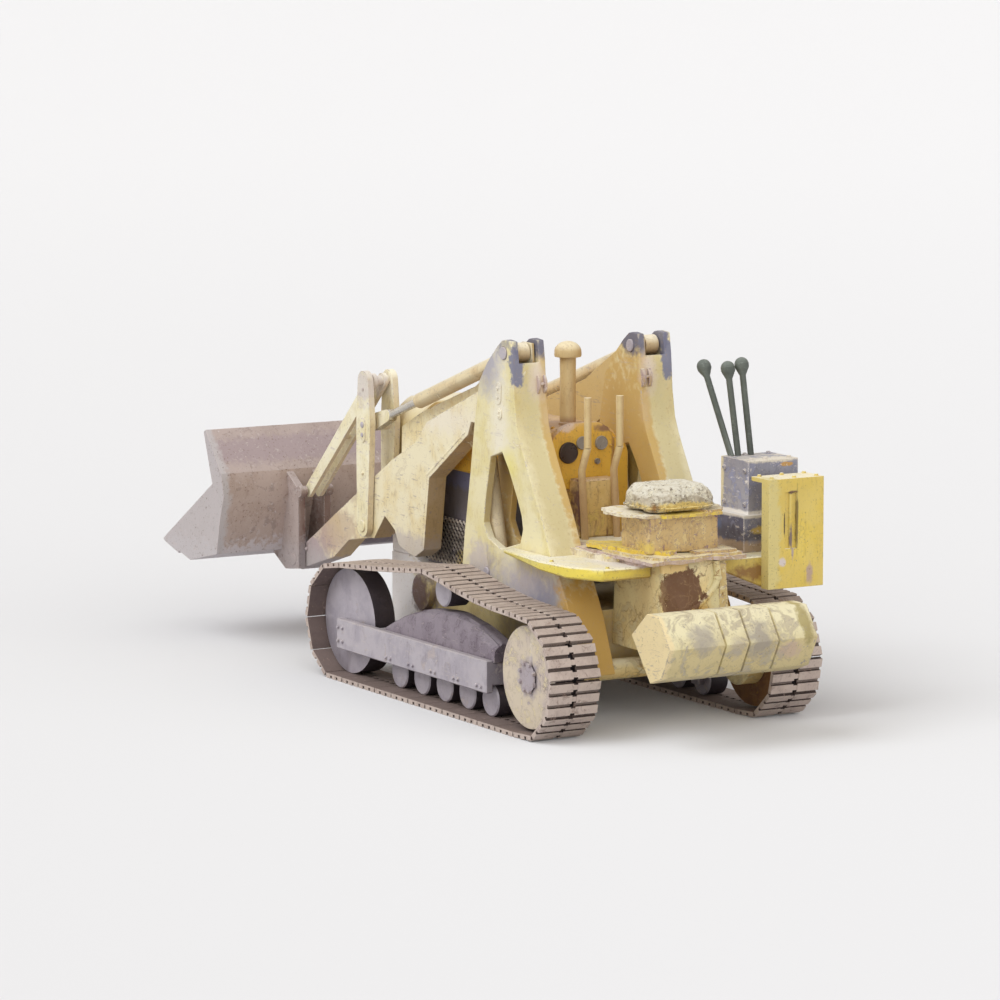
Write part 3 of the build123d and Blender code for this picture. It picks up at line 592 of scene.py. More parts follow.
    def divide(self, cut: float) -> "Shape":
        """Cut edges until none is much too long.

        Args:
            cut: The length to come down to, in metres.

        Returns:
            This shape.
        """
        bmesh.ops.triangulate(self.mesh, faces=self.mesh.faces[:])
        for _ in range(7):
            long = [e for e in self.mesh.edges if e.calc_length() > cut * 1.4]
            if not long:
                break
            bmesh.ops.subdivide_edges(self.mesh, edges=long, cuts=1, use_grid_fill=False)
            bmesh.ops.triangulate(self.mesh, faces=[f for f in self.mesh.faces if len(f.verts) > 3])
        return self

    def tidy(self) -> "Shape":
        """Merge doubles and flat neighbours, and turn every face outwards.

        Returns:
            This shape.
        """
        bmesh.ops.remove_doubles(self.mesh, verts=self.mesh.verts[:], dist=2e-5)
        bmesh.ops.dissolve_limit(
            self.mesh, angle_limit=math.radians(0.6), verts=self.mesh.verts[:], edges=self.mesh.edges[:]
        )
        bmesh.ops.recalc_face_normals(self.mesh, faces=self.mesh.faces[:])
        return self

    def chamfer(self, width: float, angle: float = 32.0) -> "Shape":
        """Take the sharp edges off by one flat facet.

        Args:
            width: How far the facet reaches from the edge, in metres.
            angle: From how many degrees an edge counts as sharp.

        Returns:
            This shape.
        """
        limit = math.radians(angle)
        joined = [e for e in self.mesh.edges if len(e.link_faces) == 2]
        sharp = [e for e in joined if e.calc_face_angle(0.0) > limit]
        settings = {"segments": 1, "profile": 0.5, "affect": "EDGES", "clamp_overlap": True}
        bmesh.ops.bevel(self.mesh, geom=sharp, offset=width, **settings)
        return self

    def piece(self, name: str, smooth_angle: float = 34.0) -> bpy.types.Object:
        """Finish as an object at the origin.

        Args:
            name: The piece's name.
            smooth_angle: Up to how many degrees an edge is shaded smooth.

        Returns:
            The new object; the shape is used up.
        """
        bmesh.ops.recalc_face_normals(self.mesh, faces=self.mesh.faces[:])
        data = bpy.data.meshes.new(name)
        self.mesh.to_mesh(data)
        self.mesh.free()
        data.shade_smooth()
        data.set_sharp_from_angle(angle=math.radians(smooth_angle))
        made = bpy.data.objects.new(name, data)
        bpy.context.scene.collection.objects.link(made)
        return made


def oval(centre: Point2, half_length: float, half_width: float, lean: float) -> list[Point2]:
    """Outline of a flat plate with two round ends.

    Args:
        centre: Of the plate.
        half_length: From the centre to an end.
        half_width: From the centre to a side; the ends' radius.
        lean: Its turn from upright, in radians.

    Returns:
        The outline's points, in the centre's frame.
    """
    steps = 9
    points = []
    straight = half_length - half_width
    for end, first in ((straight, 0.0), (-straight, math.pi)):
        for i in range(steps):
            angle = first + math.pi * i / (steps - 1)
            u, w = half_width * math.cos(angle), end + half_width * math.sin(angle)
            across = centre[0] + u * math.cos(lean) - w * math.sin(lean)
            along = centre[1] + u * math.sin(lean) + w * math.cos(lean)
            points.append((across, along))
    return points


def ripple(*place: float) -> float:
    """Smooth noise at a place, between about -1 and 1."""
    return noise.noise(Vector(place))


class Workshop:
    """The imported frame, and what every assembly does with it."""

    def __init__(self, frame: dict) -> None:
        """Keep the frame's nodes and which body each rides on."""
        self.nodes = frame["nodes"]
        bodies = frame["record"]["behaviour"]["bodies"]
        self.home = {node: body for body, members in bodies.items() for node in members}

    def fit(self, piece: bpy.types.Object, body: str, finish: Finish, *stands_for: str) -> bpy.types.Object:
        """Give a piece its finish and its body, in place of the CAD nodes that it stands for.

        Args:
            piece: The finished mesh.
            body: The body that it rides on.
            finish: Its finish.
            *stands_for: The CAD nodes that it replaces.

        Returns:
            The same piece.
        """
        piece.data.materials.clear()
        piece.data.materials.append(finish.material())
        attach(piece, body)
        if stands_for:
            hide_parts(*stands_for)
        LOG.info("%s: %d faces, on %s", piece.name, len(piece.data.polygons), body)
        return piece

    def shape_of(self, node: str) -> Shape:
        """A merged copy of a CAD node's mesh."""
        shape = Shape()
        shape.mesh.from_mesh(self.nodes[node].data)
        return shape.tidy()

    def refine(self, node: str, finish: Finish, chamfer: float) -> bpy.types.Object:
        """Stand a copy of a CAD node with softened edges in its place."""
        shape = self.shape_of(node).chamfer(chamfer)
        return self.fit(shape.piece(f"{node}_dressed"), self.home[node], finish, node)

    def studs(
        self,
        name: str,
        node: str,
        places: list[Vector],
        toward: Vector,
        finish: Finish,
        across: float,
        height: float = 0.0,
    ) -> None:
        """Seat hexagon bolt heads on a node.

        Args:
            name: The new piece's name.
            node: The CAD node that carries them.
            places: Points outside the node, one for each head.
            toward: Where to look for the surface from every point.
            finish: The heads' finish.
            across: Their width across the flats.
            height: Their height, or 0 for the usual 0.45 of the width.
        """
        self.seat(name, node, places, toward, hex_head(across, height or across * 0.45), finish)

    def seat(
        self, name: str, node: str, places: list[Vector], toward: Vector, unit: Shape, finish: Finish
    ) -> None:
        """Repeat a shape on a node's surface.

        Args:
            name: The new piece's name.
            node: The CAD node that carries it.
            places: Points outside the node, one for each copy.
            toward: Where to look for the surface from every point.
            unit: The shape, standing on its origin along Z; it is used up.
            finish: The piece's finish.
        """
        data = self.nodes[node].data
        corners = [v.co for v in data.vertices]
        tree = BVHTree.FromPolygons(corners, [tuple(p.vertices) for p in data.polygons])
        points, forward, upward = [], [], []
        for place in places:
            spot, normal, _, _ = tree.ray_cast(place, toward)
            if spot is None:
                LOG.warning("%s: nothing under %s", name, place)
                continue
            if normal.dot(toward) > 0:
                normal = -normal
            points.append(spot)
            upward.append(normal)
            forward.append(normal.orthogonal())
        piece = scatter(name, points, forward, upward, unit, finish.material())
        self.fit(piece, self.home[node], finish)


# ---- The machine's surfaces ----

# Brushed-on alkyd enamel over plate steel, decades outdoors: chalky cream to yellow, and lilac-grey
# where it is thin.
POST_ENAMEL = Finish(
    "post_enamel_chalked",
    "faded_yellow",
    coat="#E9E0B8",
    second="#E2D69F",
    faded="#F3EEDC",
    sheltered="#C2A563",
    bare="#B3A9B0",
    stain="#B3946C",
    patch="#EFE8D2",
    blotch_mm=230,
    zones=(
        *pair(0.4, 0.4, 1.25, (0.5, 0.07, 0.78), "#D2C596", 0.85, 0.4),
        # Ochre on the posts' inner plates: painted shade.
        *pair(0.8, 0.31, 1.3, (0.75, 0.035, 0.75), "#CDAA62", 0.9),
        *pair(0.8, 0.5, 1.55, (0.09, 0.03, 0.42), "#F0EBDC", 0.75, 0.5),
        *pair(0.93, 0.495, 1.86, (0.13, 0.035, 0.14), "#A19FB4", 0.8, 0.6),
        *pair(0.63, 0.47, 1.87, (0.07, 0.045, 0.125), "#7C7E96", 0.95, 0.12),
        *pair(0.75, 0.44, 1.97, (0.13, 0.05, 0.09), "#6E6F86", 0.9),
        *pair(0.74, 0.31, 1.96, (0.13, 0.04, 0.08), "#6A6B80", 0.95),
        *pair(0.63, 0.345, 1.8, (0.05, 0.05, 0.1), "#E6D6CC", 0.7, 0.5),
        *pair(0.6, 0.31, 1.62, (0.05, 0.03, 0.1), "#D6BC94", 0.6, 0.5),
        *pair(0.72, 0.5, 1.34, (0.1, 0.03, 0.07), "#E8DC62", 0.5, 0.5),
        *pair(1.0, 0.5, 0.76, (0.13, 0.03, 0.13), "#BDB3C0", 0.6),
        *pair(0.45, 0.5, 0.7, (0.42, 0.03, 0.13), "#AFA9BC", 0.8, 0.6),
        *pair(0.28, 0.5, 0.66, (0.16, 0.03, 0.09), "#8788A0", 0.7, 0.5),
        # Ochre on the posts' rear legs below the fenders: painted shade.
        *pair(0.0, 0.4, 0.5, (0.2, 0.3, 0.42), "#D3A955", 0.9),
    ),
)
# The same enamel on the lift arms, rubbed by loads and streaked with tan.
ARM_ENAMEL = replace(
    POST_ENAMEL,
    name="arm_enamel_rubbed",
    coat="#EEE5C6",
    second="#E7D8AC",
    sheltered="#B89463",
    bare="#8F7F88",
    stain="#8A6A55",
    chip_share=0.13,
    patch="#F0E8CC",
    patch_share=0.15,
    scuff_share=0.55,
    zones=(
        *pair(3.1, 0.4, 0.52, (0.3, 0.3, 0.15), "#A9A3AB", 0.85),
        *pair(2.72, 0.45, 0.72, (0.22, 0.03, 0.14), "#BBA088", 0.6),
        *pair(2.96, 0.45, 0.66, (0.2, 0.03, 0.1), "#B39B9C", 0.6, 0.7),
        *pair(2.5, 0.45, 1.05, (0.14, 0.03, 0.12), "#9B7B5E", 0.45),
        *pair(1.9, 0.4, 0.72, (0.24, 0.3, 0.1), "#B9B0B4", 0.6),
        # Ochre on the arms' inner faces: painted shade.
        *pair(1.2, 0.33, 1.6, (1.4, 0.02, 0.9), "#CFB273", 0.85),
        # Near-white band along the arms' upper outer faces: painted highlight.
        *pair(1.6, 0.45, 1.5, (0.5, 0.03, 0.08), "#EEE6D6", 0.7, 0.5),
    ),
)
# Flat-bar levers and links: thinner coat, more primer.
LINK_ENAMEL = replace(
    ARM_ENAMEL,
    name="link_enamel_thin",
    coat="#F2ECD2",
    second="#EAE0B8",
    sheltered="#CDB392",
    bare="#B5A8AE",
    stain="#7D6352",
    chip_share=0.16,
    zones=(*pair(2.34, 0.44, 1.6, (0.1, 0.1, 0.12), "#D2CACB", 0.7),),
)
# Cylinder barrels: tan paint, warm with oil.
BARREL_ENAMEL = replace(
    ARM_ENAMEL,
    name="barrel_enamel_oily",
    slot="pale_ochre",
    coat="#E6D6B0",
    second="#DCC59A",
    sheltered="#A98A62",
    roughness=0.5,
    scuff_share=0.3,
    zones=(),
)
# Later repaint in stronger yellow, still glossy in places.
TANK_ENAMEL = replace(
    POST_ENAMEL,
    name="tank_enamel_repainted",
    slot="strong_yellow",
    coat="#DFCB7A",
    second="#E0C860",
    faded="#F5F0DE",
    sheltered="#DBBC55",
    bare="#8F8A72",
    stain="#7F6A50",
    patch="#DDCF90",
    scuff_share=0.2,
    speck_share=0.6,
    roughness=0.5,
    fade=0.9,
    zones=(
        Zone(at(-0.36, -0.5, 1.0), (0.2, 0.05, 0.4), "#D9CB8C", 0.85),
        Zone(at(-0.36, -0.655, 1.1), (0.03, 0.007, 0.16), "#7C6A3C", 0.9),
        Zone(at(-0.36, -0.577, 1.074), (0.03, 0.006, 0.06), "#4A3A2E", 0.95),
        Zone(at(-0.36, -0.62, 0.998), (0.03, 0.014, 0.065), "#7A6B6C", 0.95),
        Zone(at(-0.36, -0.628, 0.92), (0.03, 0.008, 0.05), "#A596A0", 0.8),
        Zone(at(-0.36, -0.565, 0.87), (0.03, 0.022, 0.026), "#D5CBCF", 0.9),
        Zone(at(-0.36, -0.735, 0.8), (0.03, 0.02, 0.06), "#B59C92", 0.9),
        Zone(at(-0.36, -0.63, 1.238), (0.03, 0.03, 0.01), "#6B4F48", 0.9),
    ),
)
# Step plates: bleached nearly white by the sun, strong yellow left along the rear edge out of the sun, dark
# brown painted shade under the right plate.
STEP_ENAMEL = replace(
    TANK_ENAMEL,
    name="step_enamel_bleached",
    coat="#E4D268",
    second="#E6D878",
    faded="#ECEAE2",
    sheltered="#B08A45",
    patch="#E8DFAE",
    zones=(
        Zone(at(-0.1, 0.5, 0.87), (0.3, 0.3, 0.025), "#ECD64A", 0.6),
        # Dark brown on the right plate's underside and lower edge: painted shade.
        Zone(at(0.3, -0.5, 0.82), (0.9, 0.36, 0.05), "#8A6236", 0.9),
        Zone(at(-0.1, 0.3, 0.905), (0.24, 0.1, 0.02), "#E4DFD8", 0.9),
    ),
)
# Dash and hood: ochre-yellow enamel, oil-dark in its cracks, crusted along the top.
DASH_ENAMEL = replace(
    TANK_ENAMEL,
    name="dash_enamel_ochre",
    coat="#DDB23F",
    second="#D6A43A",
    faded="#CDB295",
    sheltered="#DCAE42",
    bare="#6B4A33",
    stain="#7E5A3C",
    patch="#D8B254",
    patch_share=0.2,
    chip_share=0.16,
    zones=(
        Zone(at(0.72, -0.14, 1.5), (0.1, 0.1, 0.022), "#7E5A4C", 0.85),
        Zone(at(0.72, -0.165, 1.36), (0.1, 0.022, 0.12), "#93693F", 0.8),
        Zone(at(0.72, 0.16, 1.52), (0.08, 0.09, 0.03), "#D8C6BE", 0.7),
        Zone(at(0.95, 0.02, 1.51), (0.16, 0.16, 0.03), "#8B675B", 0.6),
    ),
)
# Console under the dash: the ochre brushed thin, streaked lengthwise by spilled oil.
CONSOLE_ENAMEL = replace(
    DASH_ENAMEL,
    name="console_enamel_streaked",
    coat="#D8BE86",
    second="#C4A35E",
    sheltered="#CBAC6E",
    stain="#7A5A42",
    patch="#C9AE62",
    patch_share=0.5,
    streak_mm=26,
    streak_share=0.9,
    zones=(Zone(at(0.6, 0.105, 1.12), (0.1, 0.02, 0.16), "#5E4046", 0.9),),
)
# Rear drive case: cream paint flaking off in sheets from rusted cast iron.
CASE_ENAMEL = replace(
    POST_ENAMEL,
    name="case_enamel_flaking",
    coat="#E8DCAC",
    second="#DCCA94",
    sheltered="#E6C77E",
    bare="#A8895E",
    stain="#8A6B4C",
    patch="#D9CFA8",
    patch_share=0.5,
    chip_share=0.16,
    craze_mm=140,
    grit_depth_mm=0.8,
    scuff_share=0.4,
    zones=(
        Zone(at(-0.4, 0.03, 0.63), (0.06, 0.13, 0.07), "#BF9440", 0.95),
        Zone(at(-0.39, 0.085, 0.77), (0.04, 0.145, 0.15), "#6E4E35", 1.0, 0.06),
        Zone(at(-0.39, 0.15, 0.92), (0.04, 0.12, 0.06), "#EBD092", 0.95, 0.06),
        Zone(at(-0.39, -0.14, 0.78), (0.04, 0.055, 0.16), "#DCD2A6", 0.9),
        Zone(at(-0.25, 0.2, 0.75), (0.1, 0.04, 0.14), "#D9BF86", 0.6, 0.6),
    ),
)
# Counterweight: cast iron, painted pale yellow, rubbed grey where it was bumped.
WEIGHT_ENAMEL = replace(
    POST_ENAMEL,
    name="weight_enamel_bumped",
    coat="#DED4A8",
    second="#D2C594",
    faded="#EAE4CC",
    sheltered="#D0BE8C",
    bare="#A89E92",
    stain="#948668",
    patch="#BDB298",
    patch_share=0.55,
    chip_share=0.26,
    grit_depth_mm=0.9,
    scuff_share=0.7,
    speck_share=0.6,
    zones=(
        Zone(at(-0.75, 0.235, 0.585), (0.2, 0.075, 0.08), "#A9A196", 0.75),
        Zone(at(-0.75, 0.035, 0.54), (0.2, 0.05, 0.06), "#B1A79C", 0.6),
        Zone(at(-0.75, -0.11, 0.56), (0.2, 0.075, 0.1), "#A1988C", 0.9),
        Zone(at(-0.75, -0.3, 0.5), (0.2, 0.07, 0.05), "#C5AC9E", 0.7),
        Zone(at(-0.72, -0.4, 0.62), (0.3, 0.035, 0.12), "#A2935C", 0.85),
        Zone(at(-0.7, 0.45, 0.55), (0.3, 0.03, 0.25), "#E9D6A8", 0.9),
    ),
)
# Hot-rolled track shoes, scrubbed by soil: dry mauve-tan rust, paler where they rub.
SHOE_STEEL = Finish(
    "shoe_steel_scrubbed",
    "track_steel",
    coat="#C8B9B1",
    second="#BBABA4",
    faded="#AC9D95",
    sheltered="#CBBAB1",
    bare="#C9BDB4",
    stain="#6A574F",
    patch="#A08C84",
    blotch_mm=90,
    chip_mm=24,
    patch_mm=50,
    patch_share=0.3,
    streak_share=0.2,
    scuff_share=0.4,
    edge_wear=0.7,
    grit_mm=7,
    grit_depth_mm=0.9,
    roughness=0.72,
    metallic=0.05,
    fade=0.75,
    shelter=0.5,
)
# The sunk land between the bars, with the bars' lower walls: near black, painted shade in the grooves.
GROOVE_SHADE_STEEL = replace(
    SHOE_STEEL,
    name="shoe_groove_packed",
    coat="#3A2F2E",
    second="#463937",
    faded="#4F4240",
    bare="#5A4B46",
)
# Inner faces of the shoes, in shade and mud.
SHOE_INNER = replace(
    SHOE_STEEL,
    name="shoe_inner_muddy",
    coat="#7A6A66",
    second="#6C5E5C",
    faded="#83736E",
    sheltered="#6E5F5C",
    bare="#8C7D78",
)
# Loader bucket plate: rolled steel, pitted with rust above, scoured pale grey below.
BUCKET_STEEL = replace(
    SHOE_STEEL,
    name="bucket_steel_pitted",
    slot="bucket_steel",
    coat="#BBA9A3",
    second="#AE9A90",
    faded="#B2A6A6",
    sheltered="#B9A79F",
    bare="#C6BCBC",
    stain="#6F5A50",
    patch="#A3948E",
    blotch_mm=140,
    chip_mm=34,
    chip_share=0.22,
    patch_mm=90,
    scuff_share=0.6,
    speck_share=0.7,
    grit_mm=11,
    grit_depth_mm=1.2,
    dent_depth_mm=4,
    shelter=0.6,
    zones=(
        Zone(at(3.6, 0.0, 1.13), (1.2, 2.0, 0.07), "#A5959A", 0.8),
        Zone(at(3.6, 0.0, 0.42), (1.2, 2.0, 0.2), "#CBC4C8", 0.9, 0.12),
        Zone(at(3.5, 0.92, 0.75), (0.8, 0.05, 0.8), "#C0BBBE", 0.85),
    ),
)
# Lugs on the bucket's back: dark maroon painted shade in the recess between their plates, scoured grey at the
# foot.
BRACKET_STEEL = replace(
    BUCKET_STEEL,
    name="bracket_steel_stained",
    coat="#A99A94",
    second="#9A8880",
    sheltered="#8A6C64",
    zones=(
        *pair(3.2, 0.44, 0.52, (0.2, 0.1, 0.12), "#ADA6A9", 0.85),
        *pair(3.2, 0.505, 0.75, (0.2, 0.02, 0.3), "#BFB0AD", 0.6, 0.5),
        # Dark maroon in the recess between the lug plates: painted shade.
        *pair(3.2, 0.4, 0.74, (0.22, 0.06, 0.24), "#6C4844", 0.85, 0.3),
    ),
)
# Cast-steel frames and wheels under old grey-lilac grime.
FRAME_STEEL = Finish(
    "frame_steel_grimy",
    "undercarriage_steel",
    coat="#BDB7BF",
    second="#AFA9B4",
    faded="#B7AFB2",
    sheltered="#766C76",
    bare="#CFC6BE",
    stain="#7F737B",
    patch="#BDB2B2",
    blotch_mm=150,
    chip_mm=40,
    chip_share=0.14,
    patch_share=0.25,
    scuff_share=0.4,
    grit_depth_mm=0.8,
    roughness=0.6,
    metallic=0.1,
)
# Pressed sheet-steel spring covers, beaten thin: dark lilac-grey, with fine cracks in the old paint.
COVER_STEEL = replace(
    FRAME_STEEL,
    name="cover_steel_creased",
    coat="#938994",
    second="#827783",
    faded="#9C939D",
    sheltered="#5B5059",
    bare="#B3A9A9",
    stain="#544850",
    patch="#7E7280",
    patch_share=0.4,
    scuff_mm=22,
    scuff_share=0.5,
    craze_mm=70,
)
# Turned faces of the cast wheels and rollers, smoother than the frames and a little shinier.
WHEEL_STEEL = replace(
    FRAME_STEEL,
    name="wheel_steel_polished",
    coat="#B6B0BA",
    second="#AAA4B0",
    sheltered="#7B727C",
    bare="#C4BDC2",
    roughness=0.5,
)
# The wheels' rims, every face not turned sideways: almost black.
RIM_STEEL = replace(
    WHEEL_STEEL,
    name="wheel_rim_greased",
    coat="#3F383F",
    second="#4C434A",
    faded="#5A5156",
    sheltered="#332C31",
    bare="#5F5559",
    stain="#2B2529",
    patch="#4A4146",
)
# Drive sprocket faces: cream paint over lilac primer, crazed all over.
SPROCKET_ENAMEL = replace(
    POST_ENAMEL,
    name="sprocket_enamel_crazed",
    slot="sprocket_paint",
    coat="#D5C8B4",
    second="#C6B8B2",
    bare="#A99DA4",
    stain="#85756F",
    patch="#DDD0AC",
    patch_mm=90,
    patch_share=0.6,
    chip_share=0.2,
    craze_mm=85,
    scuff_share=0.6,
    grit_depth_mm=0.9,
    dent_depth_mm=4,
    zones=(Zone(at(0.0, 0.78, 0.32), (0.1, 0.06, 0.1), "#ABA2AC", 0.9),),
)
# Bare iron casting, rusted brown all over, with orange scale.
RUSTY_CASTING = replace(
    SHOE_STEEL,
    name="casting_rusted",
    slot="sprocket_rust",
    coat="#6E4C33",
    second="#7E5A36",
    faded="#8F7458",
    sheltered="#54382A",
    bare="#A98654",
    patch="#94702F",
    patch_share=0.3,
)
# Engine and its box: blue-black grease over dark grey iron.
ENGINE_IRON = Finish(
    "engine_iron_greasy",
    "engine_dark",
    coat="#868084",
    second="#8C8692",
    faded="#8A8290",
    sheltered="#767076",
    bare="#7C6F5E",
    stain="#221F24",
    patch="#45404C",
    roughness=0.5,
    metallic=0.1,
    zones=(*pair(1.7, 0.23, 1.13, (0.6, 0.04, 0.05), "#8486A8", 0.85),),
)
# Valve stack: slate-blue enamel, scuffed white and lilac, cream along its edges.
VALVE_ENAMEL = replace(
    ENGINE_IRON,
    name="valve_enamel_slate",
    slot="slate_blue",
    coat="#6F7088",
    second="#5D5E76",
    faded="#D6D0C8",
    # Lighter than the coat here: painted light on the valve stack's faces turned from the lamp.
    sheltered="#B2B3C2",
    bare="#DDD5CE",
    stain="#4A4656",
    patch="#8D8FA8",
    patch_mm=70,
    patch_share=0.6,
    chip_share=0.2,
    edge_wear=0.9,
    scuff_share=0.75,
    fade=0.95,
    zones=(
        Zone(at(0.15, -0.5, 1.25), (0.03, 0.06, 0.15), "#DACDA6", 0.9),
        Zone(at(0.0, -0.6, 1.1), (0.4, 0.4, 0.016), "#E9E4DE", 0.9),
        Zone(at(-0.12, -0.74, 1.355), (0.03, 0.045, 0.012), "#C99A50", 0.9, 0.1),
        Zone(at(-0.12, -0.66, 1.39), (0.1, 0.2, 0.02), "#E4DCCB", 0.8),
        Zone(at(0.0, -0.6, 1.0), (0.22, 0.3, 0.05), "#54515F", 0.75),
        Zone(at(0.16, -0.46, 1.03), (0.08, 0.05, 0.03), "#5F74A0", 0.9),
        Zone(at(-0.14, -0.55, 1.02), (0.05, 0.05, 0.02), "#D9BE6A", 0.85),
        Zone(at(0.0, -0.6, 0.93), (0.4, 0.4, 0.03), "#B49C84", 0.9),
    ),
)
# Zinc-plated hand levers gone dull grey-green.
LEVER_ZINC = replace(
    FRAME_STEEL,
    name="lever_zinc_dull",
    slot="lever_grey",
    coat="#6F756F",
    second="#5F6660",
    faded="#7D8580",
    sheltered="#545A56",
    bare="#8F958F",
    stain="#484E4C",
    patch="#68706A",
)
# Hard-chromed piston rods: bright, with a film of dust.
ROD_CHROME = Finish(
    "rod_chrome_dusty",
    "rod_chrome",
    coat="#D9D6D0",
    second="#CFCAC2",
    faded="#E4E1DB",
    sheltered="#B5AC9E",
    bare="#E8E6E2",
    stain="#A79F94",
    patch="#D2CCC2",
    chip_share=0.0,
    streak_share=0.2,
    grit_depth_mm=0.05,
    dent_depth_mm=0.2,
    roughness=0.25,
    metallic=0.85,
)
# Hand levers, stack and cap: cream-tan paint rubbed by gloves, stained at the foot.
LEVER_ENAMEL = replace(
    BARREL_ENAMEL,
    name="lever_enamel_tan",
    coat="#D9C494",
    second="#D2B988",
    faded="#F0E6C8",
    sheltered="#BC9A66",
    stain="#8A6450",
    bare="#B59C86",
    patch="#E4D2A6",
    zones=(
        Zone(at(0.915, 0.0, 1.5), (0.09, 0.09, 0.035), "#8A625C", 0.7, 0.6),
        Zone(at(0.56, 0.0, 1.1), (0.1, 0.2, 0.24), "#BD9C76", 0.7),
    ),
)
# Nose plates: bleached warm grey-white, dark maroon round the front axle's opening.
NOSE_ENAMEL = replace(
    POST_ENAMEL,
    name="nose_enamel_bleached",
    coat="#DCCB92",
    second="#CBB782",
    sheltered="#B99E66",
    patch="#D9CFB0",
    zones=(
        Zone(at(2.36, 0.0, 0.45), (0.44, 0.6, 0.6), "#EFEBEC", 0.95),
        Zone(at(2.0, 0.25, 0.45), (0.13, 0.2, 0.13), "#6A4B46", 0.9),
        Zone(at(0.6, 0.0, 0.4), (0.6, 0.6, 0.3), "#B5A58A", 0.6),
    ),
)
# Expanded-metal mesh over the engine's screens: galvanised, dulled to a warm grey by dirt.
SCREEN_ZINC = replace(
    FRAME_STEEL,
    name="screen_zinc_dirty",
    coat="#C4BAB0",
    second="#B4A99E",
    sheltered="#A89C92",
    stain="#6C5F55",
    faded="#C8BFB4",
    zones=(*pair(1.6, 0.24, 0.68, (0.12, 0.04, 0.05), "#DCC98C", 0.8),),
)
# The sheet behind the mesh, black with soot and oil.
SCREEN_DARK = replace(ENGINE_IRON, name="screen_back_sooty", coat="#544C4C", second="#484146", zones=())
# Gauge faces: black paint behind dulled glass.
DIAL_BLACK = replace(
    ENGINE_IRON,
    name="dial_glass_black",
    slot="dial_dark",
    coat="#3A2A24",
    second="#43322A",
    faded="#4A3C34",
    sheltered="#33251F",
    bare="#5A4B42",
    patch="#3F3028",
    roughness=0.3,
    dent_depth_mm=0.1,
    grit_depth_mm=0.05,
    zones=(),
)
# The small gauges, whose glass has gone blind: grey.
DIAL_GREY = replace(
    DIAL_BLACK,
    name="dial_glass_grey",
    coat="#99928A",
    second="#8A837C",
    faded="#A8A198",
    sheltered="#857D76",
    patch="#948C84",
    bare="#B3ABA0",
)
# Split vinyl seat cover: white-green crust on top, foam and dirt showing through at the rear.
SEAT_VINYL = Finish(
    "seat_vinyl_torn",
    "seat_cover",
    coat="#C6BCA8",
    second="#B3A792",
    faded="#E0DDD0",
    sheltered="#A89D8B",
    bare="#5F4E3C",
    stain="#6E6250",
    patch="#DAD3BE",
    blotch_mm=60,
    chip_mm=22,
    chip_share=0.3,
    patch_mm=45,
    patch_share=0.6,
    streak_share=0.1,
    scuff_share=0.7,
    speck_share=0.8,
    grit_mm=6,
    grit_depth_mm=1.6,
    dent_depth_mm=5,
    roughness=0.85,
    fade=0.95,
    zones=(
        Zone(at(-0.2, 0.03, 1.2), (0.2, 0.2, 0.026), "#E9D184", 0.9, 0.2),
        Zone(at(-0.2, 0.17, 1.2), (0.1, 0.026, 0.03), "#946A3E", 0.95),
    ),
)
# Seat boards: splintered sheet and plank, layers of cream, white and mustard paint.
BOARD_CREAM = replace(
    TANK_ENAMEL,
    name="board_paint_cream",
    coat="#DFCF98",
    second="#D2BC82",
    faded="#EBE4C6",
    sheltered="#BFA16B",
    bare="#B09A9C",
    stain="#8D6F5E",
    patch="#E6DDB8",
    chip_mm=30,
    chip_share=0.3,
    patch_mm=60,
    patch_share=0.5,
    scuff_share=0.7,
    speck_share=0.7,
    blotch_mm=90,
    grit_depth_mm=1.2,
    fade=0.8,
    zones=(),
)
# The same boards where the white coat has stayed.
BOARD_WHITE = replace(
    BOARD_CREAM,
    name="board_paint_white",
    coat="#E8E0C8",
    second="#DCCFAE",
    faded="#F2EEDF",
    patch="#E2D08C",
    chip_share=0.2,
)
# Boards in mustard-yellow enamel, the last coat that was brushed on.
BOARD_YELLOW = replace(
    BOARD_CREAM,
    name="board_paint_yellow",
    coat="#E8CE4E",
    second="#DDBE4E",
    faded="#EEDD86",
    patch="#E6CF66",
    chip_share=0.18,
)
# Boards worn to a tan undercoat, cracked and streaked dark.
BOARD_TAN = replace(
    BOARD_CREAM,
    name="board_paint_tan",
    coat="#D6BD8A",
    second="#C9AC76",
    bare="#8E7482",
    stain="#7A5C62",
    patch="#D9C38A",
    craze_mm=55,
    streak_share=0.6,
    zones=(Zone(at(-0.28, 0.21, 0.99), (0.1, 0.02, 0.03), "#E2C94F", 0.6, 0.6),),
)
# Boards and plates rubbed down to the lilac-grey primer.
BOARD_LILAC = replace(
    BOARD_CREAM, name="board_paint_lilac", coat="#C6B3B0", second="#BCA698", patch="#D8C8BE"
)


# ---- Geometry Nodes: what repeats ----


